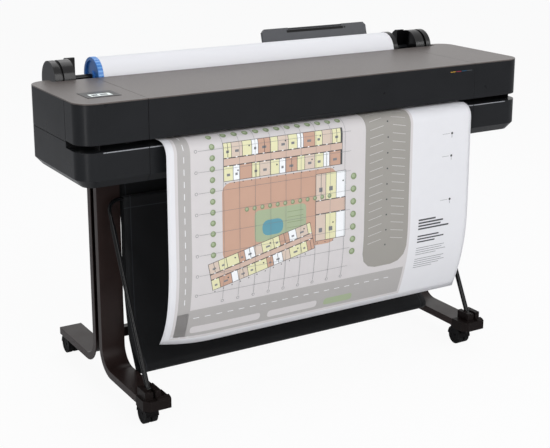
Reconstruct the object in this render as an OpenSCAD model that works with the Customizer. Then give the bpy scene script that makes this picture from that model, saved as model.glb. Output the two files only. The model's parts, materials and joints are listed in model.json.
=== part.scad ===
// Large format plotter on a rolling stand, with roll feed, sheet tray and catch bin.
// X runs to the right, Y to the back, Z up. The floor is Z = 0 and all sizes are millimetres.

/* [Body] */
// Width of the body beyond the paper on each side
side_w = 201.5; // [195:0.5:260]
// Depth of the main body, front face to the back of the top plate
main_d = 316; // [312:1:320]
// How far the ends of the body reach back beside the rear housing
end_d = 28; // [10:1:36]
// Depth of the rear housing behind the main body
rear_d = 124; // [118:1:150]
// Height of the underside above the floor
body_z = 625; // [560:1:700]
// Height of the body, underside to top plate
body_h = 201; // [196:1:220]
// Radius of the upright corners
corner_r = 45; // [35:1:60]
// Wall thickness of the moulded covers
wall = 3; // [2.5:0.1:4]
// Thickness of the top plate
plate_t = 3; // [2:0.1:4]
// Bevel along the edge of the top plate
plate_bevel = 0.8; // [0.4:0.1:1.2]
// Height of the tapered skirt along the bottom edge
skirt_h = 20; // [12:1:30]
// How far the skirt tapers in
skirt_in = 18; // [8:1:22]
// Width of the left end module, outside to seam
left_end_w = 172.5; // [168:0.5:200]
// Width of the right end module, seam to outside
right_end_w = 168.5; // [160:0.5:180]
// Depth of the corner wrap of the door and the slot
wrap_d = 88; // [80:1:95]
// Gap at the cover seams
seam = 0.8; // [0.4:0.1:1.2]

/* [Output slot] */
// Height of the slot floor above the underside
slot_rise = 86; // [80:1:92]
// Height of the slot
slot_h = 17; // [14:1:22]
// Depth of the slot floor
lip_d = 60; // [50:1:64]

/* [Window] */
// Radius of the window's hinge pins
window_pin_r = 2; // [1.5:0.1:2.5]
// Radius of the hinge barrels
window_barrel_r = 4; // [3.6:0.1:4.4]

/* [Ink door] */
// Radius of the door hinge pin
door_pin_r = 2.5; // [2:0.1:3]
// Radius of the door hinge barrel
door_barrel_r = 5; // [4.5:0.1:5.5]
// Distance of the hinge pin from the outer side face
door_pin_in = 9.5; // [9:0.1:11]
// Distance of the hinge pin from the front face
door_pin_y = 42; // [40:0.5:50]

/* [Touch panel] */
// Width of the bezel
panel_w = 84; // [70:1:100]
// Depth of the bezel
panel_d = 70; // [60:1:74]
// Width of the display
display_w = 55; // [40:1:64]
// Depth of the display
display_d = 30; // [20:1:50]

/* [Roll] */
// Width of the paper
paper_w = 914; // [880:1:930]
// Outer radius of the paper roll
roll_r = 49; // [35:1:50]
// Radius of the stopper and the flange
stopper_r = 50; // [45:1:51]
// Thickness of the stopper and the flange
stopper_t = 14.5; // [10:0.5:18]
// Inner radius of the roll core
core_ri = 25.5; // [25:0.1:26]
// Wall of the roll core
core_wall = 3; // [2:0.1:4]
// Radius of the spindle rod
spindle_r = 7.5; // [6:0.1:9]
// Height of the spindle axis above the top plate's underside
spindle_rise = -3; // [-6:0.5:8]
// Gap between the top plate and the roll
roll_gap = 6; // [5:0.5:10]
// Travel of the stopper along the rod
stopper_travel = 28; // [10:1:30]
// Gap between the stopper, pushed back, and the roll support
support_gap = 9.2; // [5:0.1:20]
// Length of each roll support
support_len = 78; // [70:1:90]

/* [Printed sheet] */
// Radius at which the sheet turns down in front of the slot
sheet_bend = 33; // [28:0.5:40]
// Height over which the sheet hangs straight below the slot's floor
sheet_drop = 284; // [200:1:300]
// Radius of the curl at the sheet's lower end
sheet_curl_r = 570; // [450:10:900]
// Angle of that curl, degrees
sheet_curl = 24.9; // [5:0.1:25]

/* [Sheet tray] */
// Width of the tray
tray_w = 360; // [300:1:420]
// Slanted height of the tray
tray_len = 107; // [95:1:150]
// Thickness of the tray
tray_t = 10; // [9:0.5:14]
// Lean of the tray from upright, degrees
tray_lean = 16; // [10:1:18]
// Width of the pull-out extension
extension_w = 200; // [160:1:220]

/* [Print engine] */
// Radius of the feed roller
feed_r = 9.5; // [8:0.1:10]
// Radius of the pinch rollers
pinch_r = 6; // [5:0.1:7]
// Number of pinch rollers
pinch_count = 9; // [5:1:12]
// Radius of the carriage rod
rod_r = 7; // [5:0.1:8]
// Width of the carriage
carriage_w = 96; // [84:1:100]
// Gear module of the feed drive
gear_module = 1.25; // [1:0.05:1.3]
// Teeth of the feed gear
gear_teeth = 60; // [48:1:62]
// Teeth of the motor pinion
pinion_teeth = 15; // [13:1:18]
// Radius of the belt pulleys
pulley_r = 8; // [6:0.1:9]
// Width of the carriage belt
belt_w = 6; // [4:0.5:8]
// Thickness of the carriage belt
belt_t = 1.5; // [1:0.1:2]
// Number of ink cartridges
cartridge_count = 4; // [3:1:4]

/* [Stand] */
// Overall depth of the stand over toes and casters
stand_d = 610; // [590:1:680]
// How far the toes reach in front of the body
toe_reach = 35; // [34:1:50]
// Distance of each leg's centre beyond the paper's edge
leg_out = 40; // [36:1:60]
// Width of the leg channels
leg_w = 64; // [56:1:66]
// Depth of the leg channels
channel_d = 20; // [18:1:24]
// Sheet thickness of the leg channels
channel_t = 2.5; // [2:0.1:3]
// Gap between the front and the rear channel
channel_gap = 22; // [16:1:30]
// Distance from the body's front face to the front channel
leg_y = 235; // [225:1:240]
// Inside radius of the channel bends
bend_r = 50; // [40:1:60]
// Height of the planks' underside
plank_z = 60; // [60:1:70]
// Height of the cross brace
brace_h = 26; // [20:1:40]
// Height of the brace's underside
brace_z = 140; // [135:1:300]

/* [Casters] */
// Wheel radius
wheel_r = 25; // [22:0.5:25.5]
// Width of one wheel
wheel_w = 15; // [12:0.5:18]
// Offset of the axle behind the swivel
trail = 20; // [16:0.5:22]
// Radius of the hood
hood_r = 28; // [27:0.5:29]
// Radius of the stem
stem_r = 5.5; // [4.5:0.1:6]
// Radius of the axle
axle_r = 3; // [2.5:0.1:4]

/* [Catch bin] */
// Height of the hinge pin of the hoop
hoop_z = 98; // [96:0.5:104]
// Length of the hoop from its hinge to the top bar
hoop_len = 480; // [430:1:500]
// Distance of the hoop's tubes outside the centre lines of the legs
hoop_out = 8; // [0:0.5:9]
// Gap between the hoop's top rod and the legs it leans towards
hoop_gap = 8; // [5:0.5:20]
// Radius of the side tubes
tube_r = 6.5; // [5.5:0.1:7]
// Radius of the top rod
rod_top_r = 4.8; // [4:0.1:5.2]
// Radius of the rod's corner bends
hoop_bend = 30; // [20:1:45]
// Gap between the bin fabric and each leg
fabric_gap = 2.5; // [2:0.5:20]
// Thickness of the fabric solid
fabric_t = 1.6; // [1.2:0.1:2]
// How far the fold of the bin hangs in front of the legs
fold_out = 73; // [50:1:80]
// Height of the centre of the fold
fold_z = 88; // [84:1:110]
// Inner radius of the fold
fold_r = 16; // [12:1:20]

/* [Fits] */
// Radial running clearance of shafts in bores
run_fit = 0.05; // [0.02:0.01:0.08]
// Clearance between moving bodies and their neighbours
free_gap = 0.5; // [0.3:0.05:0.6]
// Clearance of the sheet above and below
sheet_gap = 0.3; // [0.3:0.05:0.4]

/* [Hidden] */
$fn = 48;

// reference planes of the body
half_w = paper_w / 2 + side_w;
front_y = -stand_d / 2 + toe_reach;
main_y = front_y + main_d;
end_y = main_y + end_d;
back_y = main_y + rear_d;
top_z = body_z + body_h;
cover_z = top_z - plate_t;
crease_z = body_z + skirt_h;
slot_z = body_z + slot_rise;
window_z = slot_z + slot_h;
wrap_y = front_y + wrap_d;
side_seam_z = window_z - 3;
seam_l = -half_w + left_end_w;
seam_r = half_w - right_end_w;
sheet_x0 = -paper_w / 2 - 3;
sheet_x1 = paper_w / 2 - 3;
support_x0 = -sheet_x0 + sheet_gap + stopper_t + stopper_travel + support_gap;
support_x1 = support_x0 + support_len;
rear_half_w = support_x1 + 10;
big = 4000;

// paper path
sheet_t = 1;
sheet_z = slot_z + 9.5;
sheet_drop_z = slot_z - sheet_drop;

// roll
roll_y = main_y + roll_gap + roll_r;
roll_z = cover_z + spindle_rise;
plug_len = 25;

// print engine
frame_t = 3;
frame_y0 = wrap_y + 4;
pan_t = 2.5;
left_frame_x = seam_l - 6;
right_frame_x = half_w - 52.5;
feed_y = front_y + 228;
feed_z = sheet_z - sheet_gap - feed_r;
pinch_z = sheet_z + sheet_t + sheet_gap + pinch_r;
pinch_edge = 30;
beam_y0 = front_y + 213;
beam_y1 = main_y - 16;
beam_z0 = window_z + 20;
beam_z1 = cover_z - 18;
beam_t = 2.5;
rod_y = front_y + 165;
rod_z = window_z + 44;
carriage_z0 = window_z + 1;
carriage_z1 = cover_z - 17;
carriage_y0 = front_y + 80;
park_x = half_w - 110.5;
cutter_x = park_x + carriage_w / 2 - 9;
cutter_y = carriage_y0 + 22;
cutter_z = carriage_z0 + 9;
pulley_z = window_z + 48;
belt_y0 = front_y + 204;
belt_pitch_r = pulley_r + sheet_gap + belt_t / 2;
idler_x = seam_l + 10;
drive_x = half_w - 72.5;
gear_x0 = left_frame_x - 14;
feed_shaft_r = 5;
pinion_shaft_r = 2.5;
idler_pin_r = 2.5;
gear_w = 8;
gear_dist = gear_module * (gear_teeth + pinion_teeth) / 2;
gear_angle = 75;
pinion_y = feed_y + gear_dist * cos(gear_angle);
pinion_z = feed_z + gear_dist * sin(gear_angle);
platen_y0 = front_y + 66;
platen_y1 = feed_y - feed_r - 4;
bay_x0 = -half_w + 62;
bay_x1 = left_frame_x - 4;

cart_pitch = (bay_x1 - bay_x0 - 4) / 4;

// electronics box and the louvres under it
board_x0 = -220;
board_x1 = 180;
board_y0 = front_y + 100;
board_y1 = main_y - 30;
board_z1 = slot_z - 30;
board_t = 2;
louvre_w = 10;
louvre_len = 80;
louvre_pitch = 24;

// touch panel, rear deck, tray and power inlet
panel_x = -half_w + 92.5;
panel_y = front_y + 101;
housing_z = crease_z - 5;
deck_z = roll_z - 30;
trough_r = stopper_r + 6;
liner_x = half_w - 54.5;
right_liner_x = half_w - 26;
tray_x = 263;
tray_y = main_y + 110;
inlet_x = rear_half_w - 107;
inlet_z = crease_z + 51;
inlet_w = 90;
inlet_h = 32;
rocker_x = inlet_x - 27;
rocker_w = 21;
rocker_pin = 5;

// hinges
window_pivot_y = main_y - 8;
window_pivot_z = cover_z - 7.5;
hinge_ear_t = 2.6;
ear_gap = 0.2;
door_pivot_x = -half_w + door_pin_in;
door_pivot_y = front_y + door_pin_y;

// stand
leg_x = paper_w / 2 + leg_out;
plank_top = plank_z + channel_d;
front_tip = -stand_d / 2;
leg_front = front_y + leg_y;
leg_mid = leg_front + channel_d + channel_gap / 2;
bend_z = plank_top + bend_r;
leg_top = body_z - 4;
brace_y = leg_front + channel_d;
front_swivel_y = front_tip + 45;
rear_swivel_y = stand_d / 2 - trail - hood_r;
front_plank_y = front_tip + 19;
rear_plank_y = rear_swivel_y + 20;
cap_wall = 3;
caster_web = 4;
stem_top = plank_top - 4.5;
pedal_w = 18;
pedal_out = 21;
pedal_z = wheel_r + hood_r - 4;
pedal_pin_r = 1.5;

// catch bin
hoop_x = leg_x + hoop_out;
hoop_y = front_tip + 43;
hoop_lean = asin((leg_front - hoop_gap - rod_top_r - hoop_y) / hoop_len);
bar_y = hoop_y + hoop_len * sin(hoop_lean);
bar_z = hoop_z + hoop_len * cos(hoop_lean);
rear_rod_y = leg_front + 9;
rear_rod_z = body_z - 14;
ear_in = tube_r + 0.6;
hoop_pin_r = 3;
fabric_w = 2 * (leg_x - leg_w / 2 - fabric_gap);

// shapes used by several pieces
module box(x0, x1, y0, y1, z0, z1) {
    translate([x0, y0, z0]) cube([x1 - x0, y1 - y0, z1 - z0]);
}

module along_x(x0, x1) {
    translate([x0, 0, 0]) rotate([90, 0, 90]) linear_extrude(x1 - x0) children();
}

module along_y(y0, y1) {
    translate([0, y1, 0]) rotate([90, 0, 0]) linear_extrude(y1 - y0) children();
}

module at_z(z0, z1) {
    translate([0, 0, z0]) linear_extrude(z1 - z0) children();
}

module rod_x(x0, x1, y, z, r) {
    translate([x0, y, z]) rotate([0, 90, 0]) cylinder(h = x1 - x0, r = r);
}

module rod_y(y0, y1, x, z, r) {
    translate([x, y1, z]) rotate([90, 0, 0]) cylinder(h = y1 - y0, r = r);
}

module rounded_rect(x0, x1, y0, y1, r) {
    translate([x0 + r, y0]) square([x1 - x0 - 2 * r, y1 - y0]);
    translate([x0, y0 + r]) square([x1 - x0, y1 - y0 - 2 * r]);
    for (x = [x0 + r, x1 - r], y = [y0 + r, y1 - r]) translate([x, y]) circle(r);
}

// plan outline of the main body, set in by a distance, notched for the rear housing
module plan(inset = 0) {
    notch = rear_half_w + inset;
    difference() {
        rounded_rect(-half_w + inset, half_w - inset, front_y + inset, end_y - inset,
            corner_r - inset);
        translate([-notch, main_y - inset]) square([2 * notch, big]);
    }
}

// slab on that outline whose edge slopes from one inset to another
module sloped_slab(z0, z1, in0, in1, notch_in = 0) {
    cx = half_w - corner_r;
    y0 = front_y + corner_r;
    y1 = end_y - corner_r;
    notch = rear_half_w + notch_in;
    difference() {
        union() {
            for (x = [-cx, cx], y = [y0, y1]) translate([x, y, z0])
                cylinder(h = z1 - z0, r1 = corner_r - in0, r2 = corner_r - in1);
            along_x(-cx, cx) polygon([[front_y + in0, z0], [end_y - in0, z0],
                [end_y - in1, z1], [front_y + in1, z1]]);
            along_y(y0, y1) polygon([[-half_w + in0, z0], [half_w - in0, z0],
                [half_w - in1, z1], [-half_w + in1, z1]]);
        }
        box(-notch, notch, main_y - notch_in, big, z0 - 1, z1 + 1);
    }
}

// the opening in the back of the main body where the rear housing joins
module back_opening(z0, z1) {
    box(-rear_half_w, rear_half_w, main_y - corner_r - 1, main_y + 1, z0, z1);
}

// covers above the slot, before they are parted at the seams
module upper_ring() {
    difference() {
        at_z(side_seam_z + seam / 2, cover_z) plan();
        at_z(side_seam_z - 1, cover_z + 1) plan(wall);
        back_opening(side_seam_z - 1, cover_z + 1);
    }
}

// covers below the slot, before they are parted at the seams
module lower_ring() {
    difference() {
        union() {
            at_z(crease_z, side_seam_z - seam / 2) plan();
            sloped_slab(body_z, crease_z, skirt_in, 0);
        }
        at_z(crease_z, side_seam_z + 1) plan(wall);
        sloped_slab(body_z - 0.1, crease_z + 0.1,
            skirt_in + wall + 0.1 * skirt_in / skirt_h, wall - 0.1 * skirt_in / skirt_h, wall);
        box(-big, big, front_y - 1, wrap_y, slot_z, big);
        back_opening(body_z - 1, big);
    }
    // floor of the slot and of the pockets at its ends
    intersection() {
        at_z(slot_z - wall, slot_z) plan();
        union() {
            box(-big, big, front_y - 1, front_y + lip_d, 0, big);
            for (x = [-big, liner_x - 4]) box(x, x + big - liner_x + 4, front_y - 1, wrap_y, 0, big);
        }
    }
}

// slots through the pan and the box, between two heights
module louvres(z0, z1) {
    for (x = [board_x0 + 60:louvre_pitch:board_x1 - 60 - louvre_w])
        box(x, x + louvre_w, board_y0 + 10, board_y0 + 10 + louvre_len, z0, z1);
}

module bottom_pan() {
    pan_in = skirt_in + wall + seam;
    color("#3a3a3c") difference() {
        union() {
            at_z(body_z, body_z + pan_t) plan(pan_in);
            at_z(body_z, body_z + 14) difference() {
                plan(pan_in);
                plan(pan_in + 2.5);
                translate([-big, main_y - 50]) square([2 * big, 100]);
            }
        }
        louvres(body_z - 1, body_z + pan_t + 0.5);
    }
}

module lower_cover_left() {
    color("#2b2c2e") intersection() {
        lower_ring();
        box(-big, seam_l - seam / 2, -big, big, 0, big);
    }
}

module lower_cover_center() {
    color("#2b2c2e") {
        intersection() {
            lower_ring();
            box(seam_l + seam / 2, seam_r - seam / 2, -big, front_y + lip_d, 0, big);
        }
        // stiffening ribs behind the front face
        for (x = [seam_l + 60:86:seam_r - 40])
            box(x, x + 2, front_y + wall, front_y + 20, crease_z, slot_z - wall);
    }
}

module lower_cover_right() {
    color("#2b2c2e") intersection() {
        lower_ring();
        box(seam_r + seam / 2, big, -big, big, 0, big);
    }
}

module left_side_cover() {
    color("#2b2c2e") intersection() {
        upper_ring();
        box(-big, 0, wrap_y + free_gap, big, 0, big);
    }
}

module right_cover() {
    color("#2b2c2e") difference() {
        intersection() {
            upper_ring();
            box(seam_r + seam / 2, big, -big, big, 0, big);
        }
        box(-big, big, -big, wrap_y, 0, window_z);
    }
}

module ink_door() {
    z0 = window_z + 8;
    z1 = cover_z - 8;
    color("#2b2c2e") difference() {
        union() {
            intersection() {
                upper_ring();
                box(-big, seam_l - seam / 2, -big, wrap_y - free_gap, window_z,
                    cover_z - free_gap);
            }
            // hinge barrel and its web
            translate([door_pivot_x, door_pivot_y, z0]) cylinder(h = z1 - z0, r = door_barrel_r);
            box(-half_w + wall - 0.5, door_pivot_x - door_pin_r - 1, door_pivot_y - 1.5,
                door_pivot_y + 1.5, z0, z1);
            // stiffening rib and finger ledge along the free edge
            box(seam_l - seam / 2 - 40, seam_l - seam / 2, front_y + wall - 0.5, front_y + 9,
                z0, z0 + 2.5);
        }
        translate([door_pivot_x, door_pivot_y, z0 - 1])
            cylinder(h = z1 - z0 + 2, r = door_pin_r + run_fit);
    }
}

module window_cover() {
    x0 = seam_l + seam / 2;
    x1 = seam_r - seam / 2;
    skin = 2.5;
    color("#2c2d2f") difference() {
        union() {
            along_x(x0, x1) polygon([[front_y, window_z], [front_y + wall, window_z],
                [front_y + wall, cover_z - skin], [main_y - 4, cover_z - skin],
                [main_y - 4, cover_z], [front_y, cover_z]]);
            // gussets in the front corner
            for (x = [x0 + 10:(x1 - x0 - 22) / 8:x1]) along_x(x, x + 2)
                polygon([[front_y + wall - 0.5, cover_z - 28], [front_y + 28, cover_z - skin + 0.5],
                    [front_y + wall - 0.5, cover_z - skin + 0.5]]);
            // stiffening ribs under the top skin
            for (y = [front_y + 70, beam_y0 - 13])
                box(x0 + 20, x1 - 20, y, y + 2, cover_z - 8, cover_z - skin + 0.5);
            // hinge barrels
            for (x = [x0 + 2.6, x1 - 14.6]) {
                rod_x(x, x + 12, window_pivot_y, window_pivot_z, window_barrel_r);
                box(x, x + 12, window_pivot_y - 3, window_pivot_y + 3, window_pivot_z,
                    cover_z - skin + 0.5);
            }
        }
        rod_x(x0 - 1, x1 + 1, window_pivot_y, window_pivot_z, window_pin_r + run_fit);
        // finger groove along the lower edge
        along_x(-75, 75) translate([front_y - 1.2, window_z + 8]) circle(2);
    }
}

module hinge_pins() {
    head = 1.5;
    grip = 17;
    color("#9a9ca0") {
        // window pins run from the beam's ears into the barrels
        for (s = [-1, 1]) {
            ear = s < 0 ? ear_gap - seam_l : seam_r + ear_gap;
            end = ear + hinge_ear_t;
            mirror([s < 0 ? 1 : 0, 0, 0]) {
                rod_x(ear - grip, end, window_pivot_y, window_pivot_z, window_pin_r);
                rod_x(end, end + head, window_pivot_y, window_pivot_z, window_pin_r + 1);
            }
        }
        translate([door_pivot_x, door_pivot_y, window_z + 1])
            cylinder(h = cover_z - window_z - 1.5, r = door_pin_r);
    }
}

module top_plate_center() {
    b = plate_bevel;
    color("#9b9593") along_x(seam_l + seam / 2, seam_r - seam / 2)
        polygon([[front_y, cover_z], [main_y, cover_z], [main_y, top_z - b],
            [main_y - b, top_z], [front_y + b, top_z], [front_y, top_z - b]]);
}

module end_top_plates() {
    color("#9b9593") difference() {
        union() {
            at_z(cover_z, top_z - plate_bevel) plan();
            sloped_slab(top_z - plate_bevel, top_z, 0, plate_bevel);
        }
        box(seam_l - seam / 2, seam_r + seam / 2, -big, big, 0, big);
        box(panel_x - panel_w / 2, panel_x + panel_w / 2, panel_y - panel_d / 2,
            panel_y + panel_d / 2, 0, big);
    }
}

module front_panel() {
    proud = 0.8;
    flange = 4;
    x0 = panel_x - panel_w / 2;
    y0 = panel_y - panel_d / 2;
    color("#3c3d3c") difference() {
        union() {
            box(x0, x0 + panel_w, y0, y0 + panel_d, cover_z - 6, top_z + proud);
            // flange under the plate, on the sides away from the door
            box(x0, x0 + panel_w + flange, y0, y0 + panel_d + flange, cover_z - 3, cover_z);
        }
        box(panel_x - display_w / 2, panel_x + display_w / 2, panel_y - display_d / 2 - 6,
            panel_y + display_d / 2 - 6, top_z - 1, big);
    }
}

module display() {
    color("#e8ecec") box(panel_x - display_w / 2, panel_x + display_w / 2,
        panel_y - display_d / 2 - 6, panel_y + display_d / 2 - 6, top_z - 1, top_z + 0.5);
}

module slot_liners() {
    top = window_z - free_gap;
    y = front_y + lip_d;
    color("#141415") for (s = [-1, 1]) {
        inner = s < 0 ? -seam_l : seam_r;
        end = s < 0 ? liner_x : right_liner_x;
        mirror([s < 0 ? 1 : 0, 0, 0]) {
            // back wall, end wall and the back wall of the pocket at the corner
            box(inner, end, y + 2, y + 4, slot_z, top);
            box(end - 2, end, front_y + 20, wrap_y, slot_z, top);
            box(end - 2, half_w - wall - free_gap, wrap_y - 2, wrap_y, slot_z, top);
        }
    }
}

module housing_side(t) {
    r = 20;
    difference() {
        union() {
            translate([main_y - t, housing_z + r]) square([rear_d, deck_z - housing_z - r - t]);
            translate([main_y - t, housing_z + t]) square([rear_d - r + t, r + 10]);
            translate([back_y - r, housing_z + r]) circle(r - t);
        }
        translate([roll_y, roll_z]) circle(trough_r + t, $fn = 96);
    }
}

module rear_housing() {
    x = rear_half_w - 2;
    tab_w = 50;
    color("#303134") {
        difference() {
            union() {
                difference() {
                    along_x(-x, x) difference() {
                        housing_side(0);
                        translate([back_y, housing_z]) square([10, big]);
                    }
                    along_x(-x + wall, x - wall) housing_side(wall);
                }
                // block behind the connectors
                box(-x + 60, -x + 150, back_y - 22, back_y - 1, inlet_z - 14, inlet_z + 14);
            }
            box(inlet_x - inlet_w / 2, inlet_x + inlet_w / 2, back_y - wall - 1, back_y + 1,
                inlet_z - inlet_h / 2, inlet_z + inlet_h / 2);
            // two connector sockets
            box(-x + 72, -x + 88, back_y - 14, back_y + 1, inlet_z - 7, inlet_z + 6);
            box(-x + 108, -x + 121, back_y - 14, back_y + 1, inlet_z - 6, inlet_z + 5);
            // cooling slots
            for (i = [0:13]) box(-150 + i * 20, -142 + i * 20, back_y - wall - 1, back_y + 1,
                housing_z + 36, housing_z + 84);
        }
        // tabs that bolt to the beam
        for (tab = [-1, 0, 1]) translate([tab * (seam_r - 70) - tab_w / 2, 0, 0]) {
            box(0, tab_w, beam_y1, main_y + 4, deck_z - 2 * wall, deck_z - wall);
            box(0, tab_w, beam_y1, beam_y1 + wall, deck_z - 12, deck_z + 8);
        }
    }
}

module on_tray() {
    translate([tray_x, tray_y, deck_z]) rotate([-tray_lean, 0, 0]) children();
}

module sheet_tray() {
    w = tray_w / 2;
    c = 9;
    groove_w = 26;
    groove_pitch = 38;
    pocket = extension_w / 2 + free_gap;
    color("#6a6b6e") difference() {
        on_tray() difference() {
            translate([0, tray_t, 0]) rotate([90, 0, 0]) linear_extrude(tray_t) polygon([
                [-w, -4], [w, -4], [w, tray_len - c], [w - c, tray_len], [-w + c, tray_len],
                [-w, tray_len - c]]);
            // pocket that holds the extension
            box(-pocket, pocket, 3, 7.8, 12, tray_len + 1);
            // cut-out for the pull in the front face
            box(-pocket + 8, pocket - 8, -1, 5, tray_len - 6, tray_len + 1);
            // shallow channels in the back leave guide ribs
            for (x = [-w + 28 - groove_w / 2:groove_pitch:w - 28]) box(x, x + groove_w,
                tray_t - 1.2, tray_t + 1, 14, tray_len - 16);
        }
        // flat foot on the deck
        box(-big, big, -big, big, 0, deck_z);
    }
}

module tray_extension() {
    w = extension_w / 2;
    color("#47484a") on_tray() {
        box(-w, w, 3.4, 7.4, 12.4, tray_len - 2);
        box(-w + 12, w - 12, 0.8, 3.6, tray_len - 5.4, tray_len - 2);
    }
}

module end_frames() {
    color("#8f9296") {
        difference() {
            union() {
                box(left_frame_x, left_frame_x + frame_t, frame_y0, beam_y1, body_z + pan_t,
                    cover_z - 6);
                // bracket that carries the feed motor
                box(gear_x0 - 5, gear_x0 - 2, pinion_y - 24, pinion_y + 26, pinion_z - 24,
                    pinion_z + 24);
                box(gear_x0 - 5, left_frame_x + 1, pinion_y + 16, pinion_y + 26,
                    pinion_z - 10, pinion_z + 24);
            }
            rod_x(left_frame_x - 1, left_frame_x + frame_t + 1, feed_y, feed_z,
                feed_shaft_r + run_fit);
            rod_x(gear_x0 - 6, gear_x0 - 1, pinion_y, pinion_z, pinion_shaft_r + 1);
            frame_window(-big, 0);
        }
        difference() {
            box(right_frame_x, right_frame_x + frame_t, frame_y0, beam_y1 - 6, body_z + pan_t,
                cover_z - 6);
            frame_window(0, big);
        }
        // bearing plate for the right end of the feed roller
        difference() {
            box(seam_r + 2, seam_r + 2 + frame_t, beam_y0 - 6, beam_y1, body_z + pan_t,
                beam_z0);
            rod_x(0, big, feed_y, feed_z, feed_shaft_r + run_fit);
        }
    }
}

module frame_window(x0, x1) {
    rim = 23;
    box(x0, x1, frame_y0 + rim, beam_y0 - rim, body_z + rim, slot_z - rim);
}

module cross_beam() {
    x0 = left_frame_x + frame_t;
    x1 = right_frame_x;
    t = beam_t;
    lip = 12;
    color("#a3a6aa") {
        difference() {
            along_x(x0, x1) difference() {
                translate([beam_y0, beam_z0]) square([beam_y1 - beam_y0, beam_z1 - beam_z0]);
                translate([beam_y0 + t, beam_z0 + t])
                    square([beam_y1 - beam_y0 - 2 * t, beam_z1 - beam_z0 - 2 * t]);
                translate([beam_y1 - 2 * t, beam_z0 + lip])
                    square([3 * t, beam_z1 - beam_z0 - 2 * lip]);
            }
            // hole for the drive pulley's shaft
            rod_y(beam_y0 - 1, beam_y0 + t + 1, drive_x, pulley_z, pinion_shaft_r + 2);
        }
        // ears for the window hinge
        for (x = [seam_l - ear_gap - hinge_ear_t, seam_r + ear_gap]) difference() {
            along_x(x, x + hinge_ear_t) union() {
                translate([window_pivot_y, window_pivot_z]) circle(window_barrel_r);
                translate([window_pivot_y - 24, beam_z1 - t / 2])
                    square([16, window_pivot_z - beam_z1 + 2 + t / 2]);
                translate([window_pivot_y - 12, window_pivot_z - window_barrel_r])
                    square([12, 2 * window_barrel_r]);
            }
            rod_x(x - 1, x + hinge_ear_t + 1, window_pivot_y, window_pivot_z, window_pin_r);
        }
        // pin for the idler pulley
        rod_y(belt_y0 - 2, beam_y0 + t, idler_x, pulley_z, idler_pin_r);
    }
}

module platen() {
    x0 = left_frame_x + frame_t + 14;
    x1 = seam_r - 14;
    top = sheet_z - sheet_gap;
    rib_pitch = 20.6;
    rib_t = 2;
    color("#232426") {
        along_x(x0, x1) polygon([[platen_y0 - 4, slot_z - 2], [platen_y0 + 10, top - 1.5],
            [platen_y1, top - 1.5], [platen_y1, top - 14], [platen_y1 - 4, top - 14],
            [platen_y1 - 4, top - 5.5], [platen_y0 + 12, top - 5.5],
            [platen_y0 + 4, slot_z - 8], [platen_y0 - 4, slot_z - 8]]);
        for (x = [x0 + 10:rib_pitch:x1 - 10 - rib_t])
            box(x, x + rib_t, platen_y0 + 12, platen_y1 - 2, top - 2, top);
    }
}

module feed_roller() {
    x0 = left_frame_x + frame_t + 4;
    x1 = seam_r - 4;
    color("#5b5d60") {
        rod_x(x0, x1, feed_y, feed_z, feed_r);
        rod_x(gear_x0 - 1, x0, feed_y, feed_z, feed_shaft_r);
        rod_x(x1, seam_r + 9, feed_y, feed_z, feed_shaft_r);
    }
}

function pinch_x(i) = seam_l + pinch_edge + i * (seam_r - seam_l - 2 * pinch_edge) / (pinch_count - 1);

module pinch_rollers() {
    color("#27282a") {
        rod_x(pinch_x(0) - 14, pinch_x(pinch_count - 1) + 14, feed_y, pinch_z, 2);
        for (i = [0:pinch_count - 1]) rod_x(pinch_x(i) - 9, pinch_x(i) + 9, feed_y, pinch_z,
            pinch_r);
    }
}

module pinch_arms() {
    color("#1d1e20") for (i = [0:pinch_count - 1], s = [-1, 1]) {
        x = pinch_x(i) + s * 11;
        difference() {
            along_x(x - 1.5, x + 1.5) union() {
                translate([feed_y, pinch_z]) circle(4.5);
                translate([feed_y - 4.5, pinch_z]) square([9, beam_z0 - pinch_z]);
            }
            rod_x(x - 2, x + 2, feed_y, pinch_z, 2 + run_fit);
        }
    }
}

// involute spur gear outline with a tooth centred on the first axis
function involute_angle(rb, r) = tan(acos(rb / r)) * 180 / PI - acos(rb / r);

module gear_outline(teeth, slack = 0.06) {
    pressure = 25;
    rp = gear_module * teeth / 2;
    rb = rp * cos(pressure);
    ra = rp + gear_module * 0.95;
    rf = rp - gear_module * 1.2;
    r0 = max(rb, rf);
    half = 90 / teeth + involute_angle(rb, rp) - slack / rp * 180 / PI;
    steps = 4;
    // radius and half angle of the tooth at each step up its flank
    flank = concat(rb > rf ? [[rf, half]] : [],
        [for (i = [0:steps]) let (r = r0 + i * (ra - r0) / steps)
            [r, half - involute_angle(rb, r)]]);
    polygon([for (t = [0:teeth - 1]) let (a = t * 360 / teeth) each concat(
        [for (p = flank) [p[0] * cos(a - p[1]), p[0] * sin(a - p[1])]],
        [for (p = backwards(flank)) [p[0] * cos(a + p[1]), p[0] * sin(a + p[1])]])]);
}

module feed_gear() {
    pitch_r = gear_module * gear_teeth / 2;
    color("#d8d6cc") difference() {
        translate([0, feed_y, feed_z]) along_x(gear_x0, gear_x0 + gear_w)
            rotate(gear_angle + 180 / gear_teeth) difference() {
                gear_outline(gear_teeth);
                for (a = [0:60:300]) rotate(a) translate([pitch_r * 0.6, 0]) circle(pitch_r * 0.18);
            }
        rod_x(gear_x0 - 1, gear_x0 + gear_w + 1, feed_y, feed_z, feed_shaft_r);
    }
}

module motor_pinion() {
    color("#b9963f") {
        translate([0, pinion_y, pinion_z]) along_x(gear_x0, gear_x0 + gear_w)
            rotate(gear_angle + 180) gear_outline(pinion_teeth);
        rod_x(gear_x0 - 14, gear_x0, pinion_y, pinion_z, pinion_shaft_r);
    }
}

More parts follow.
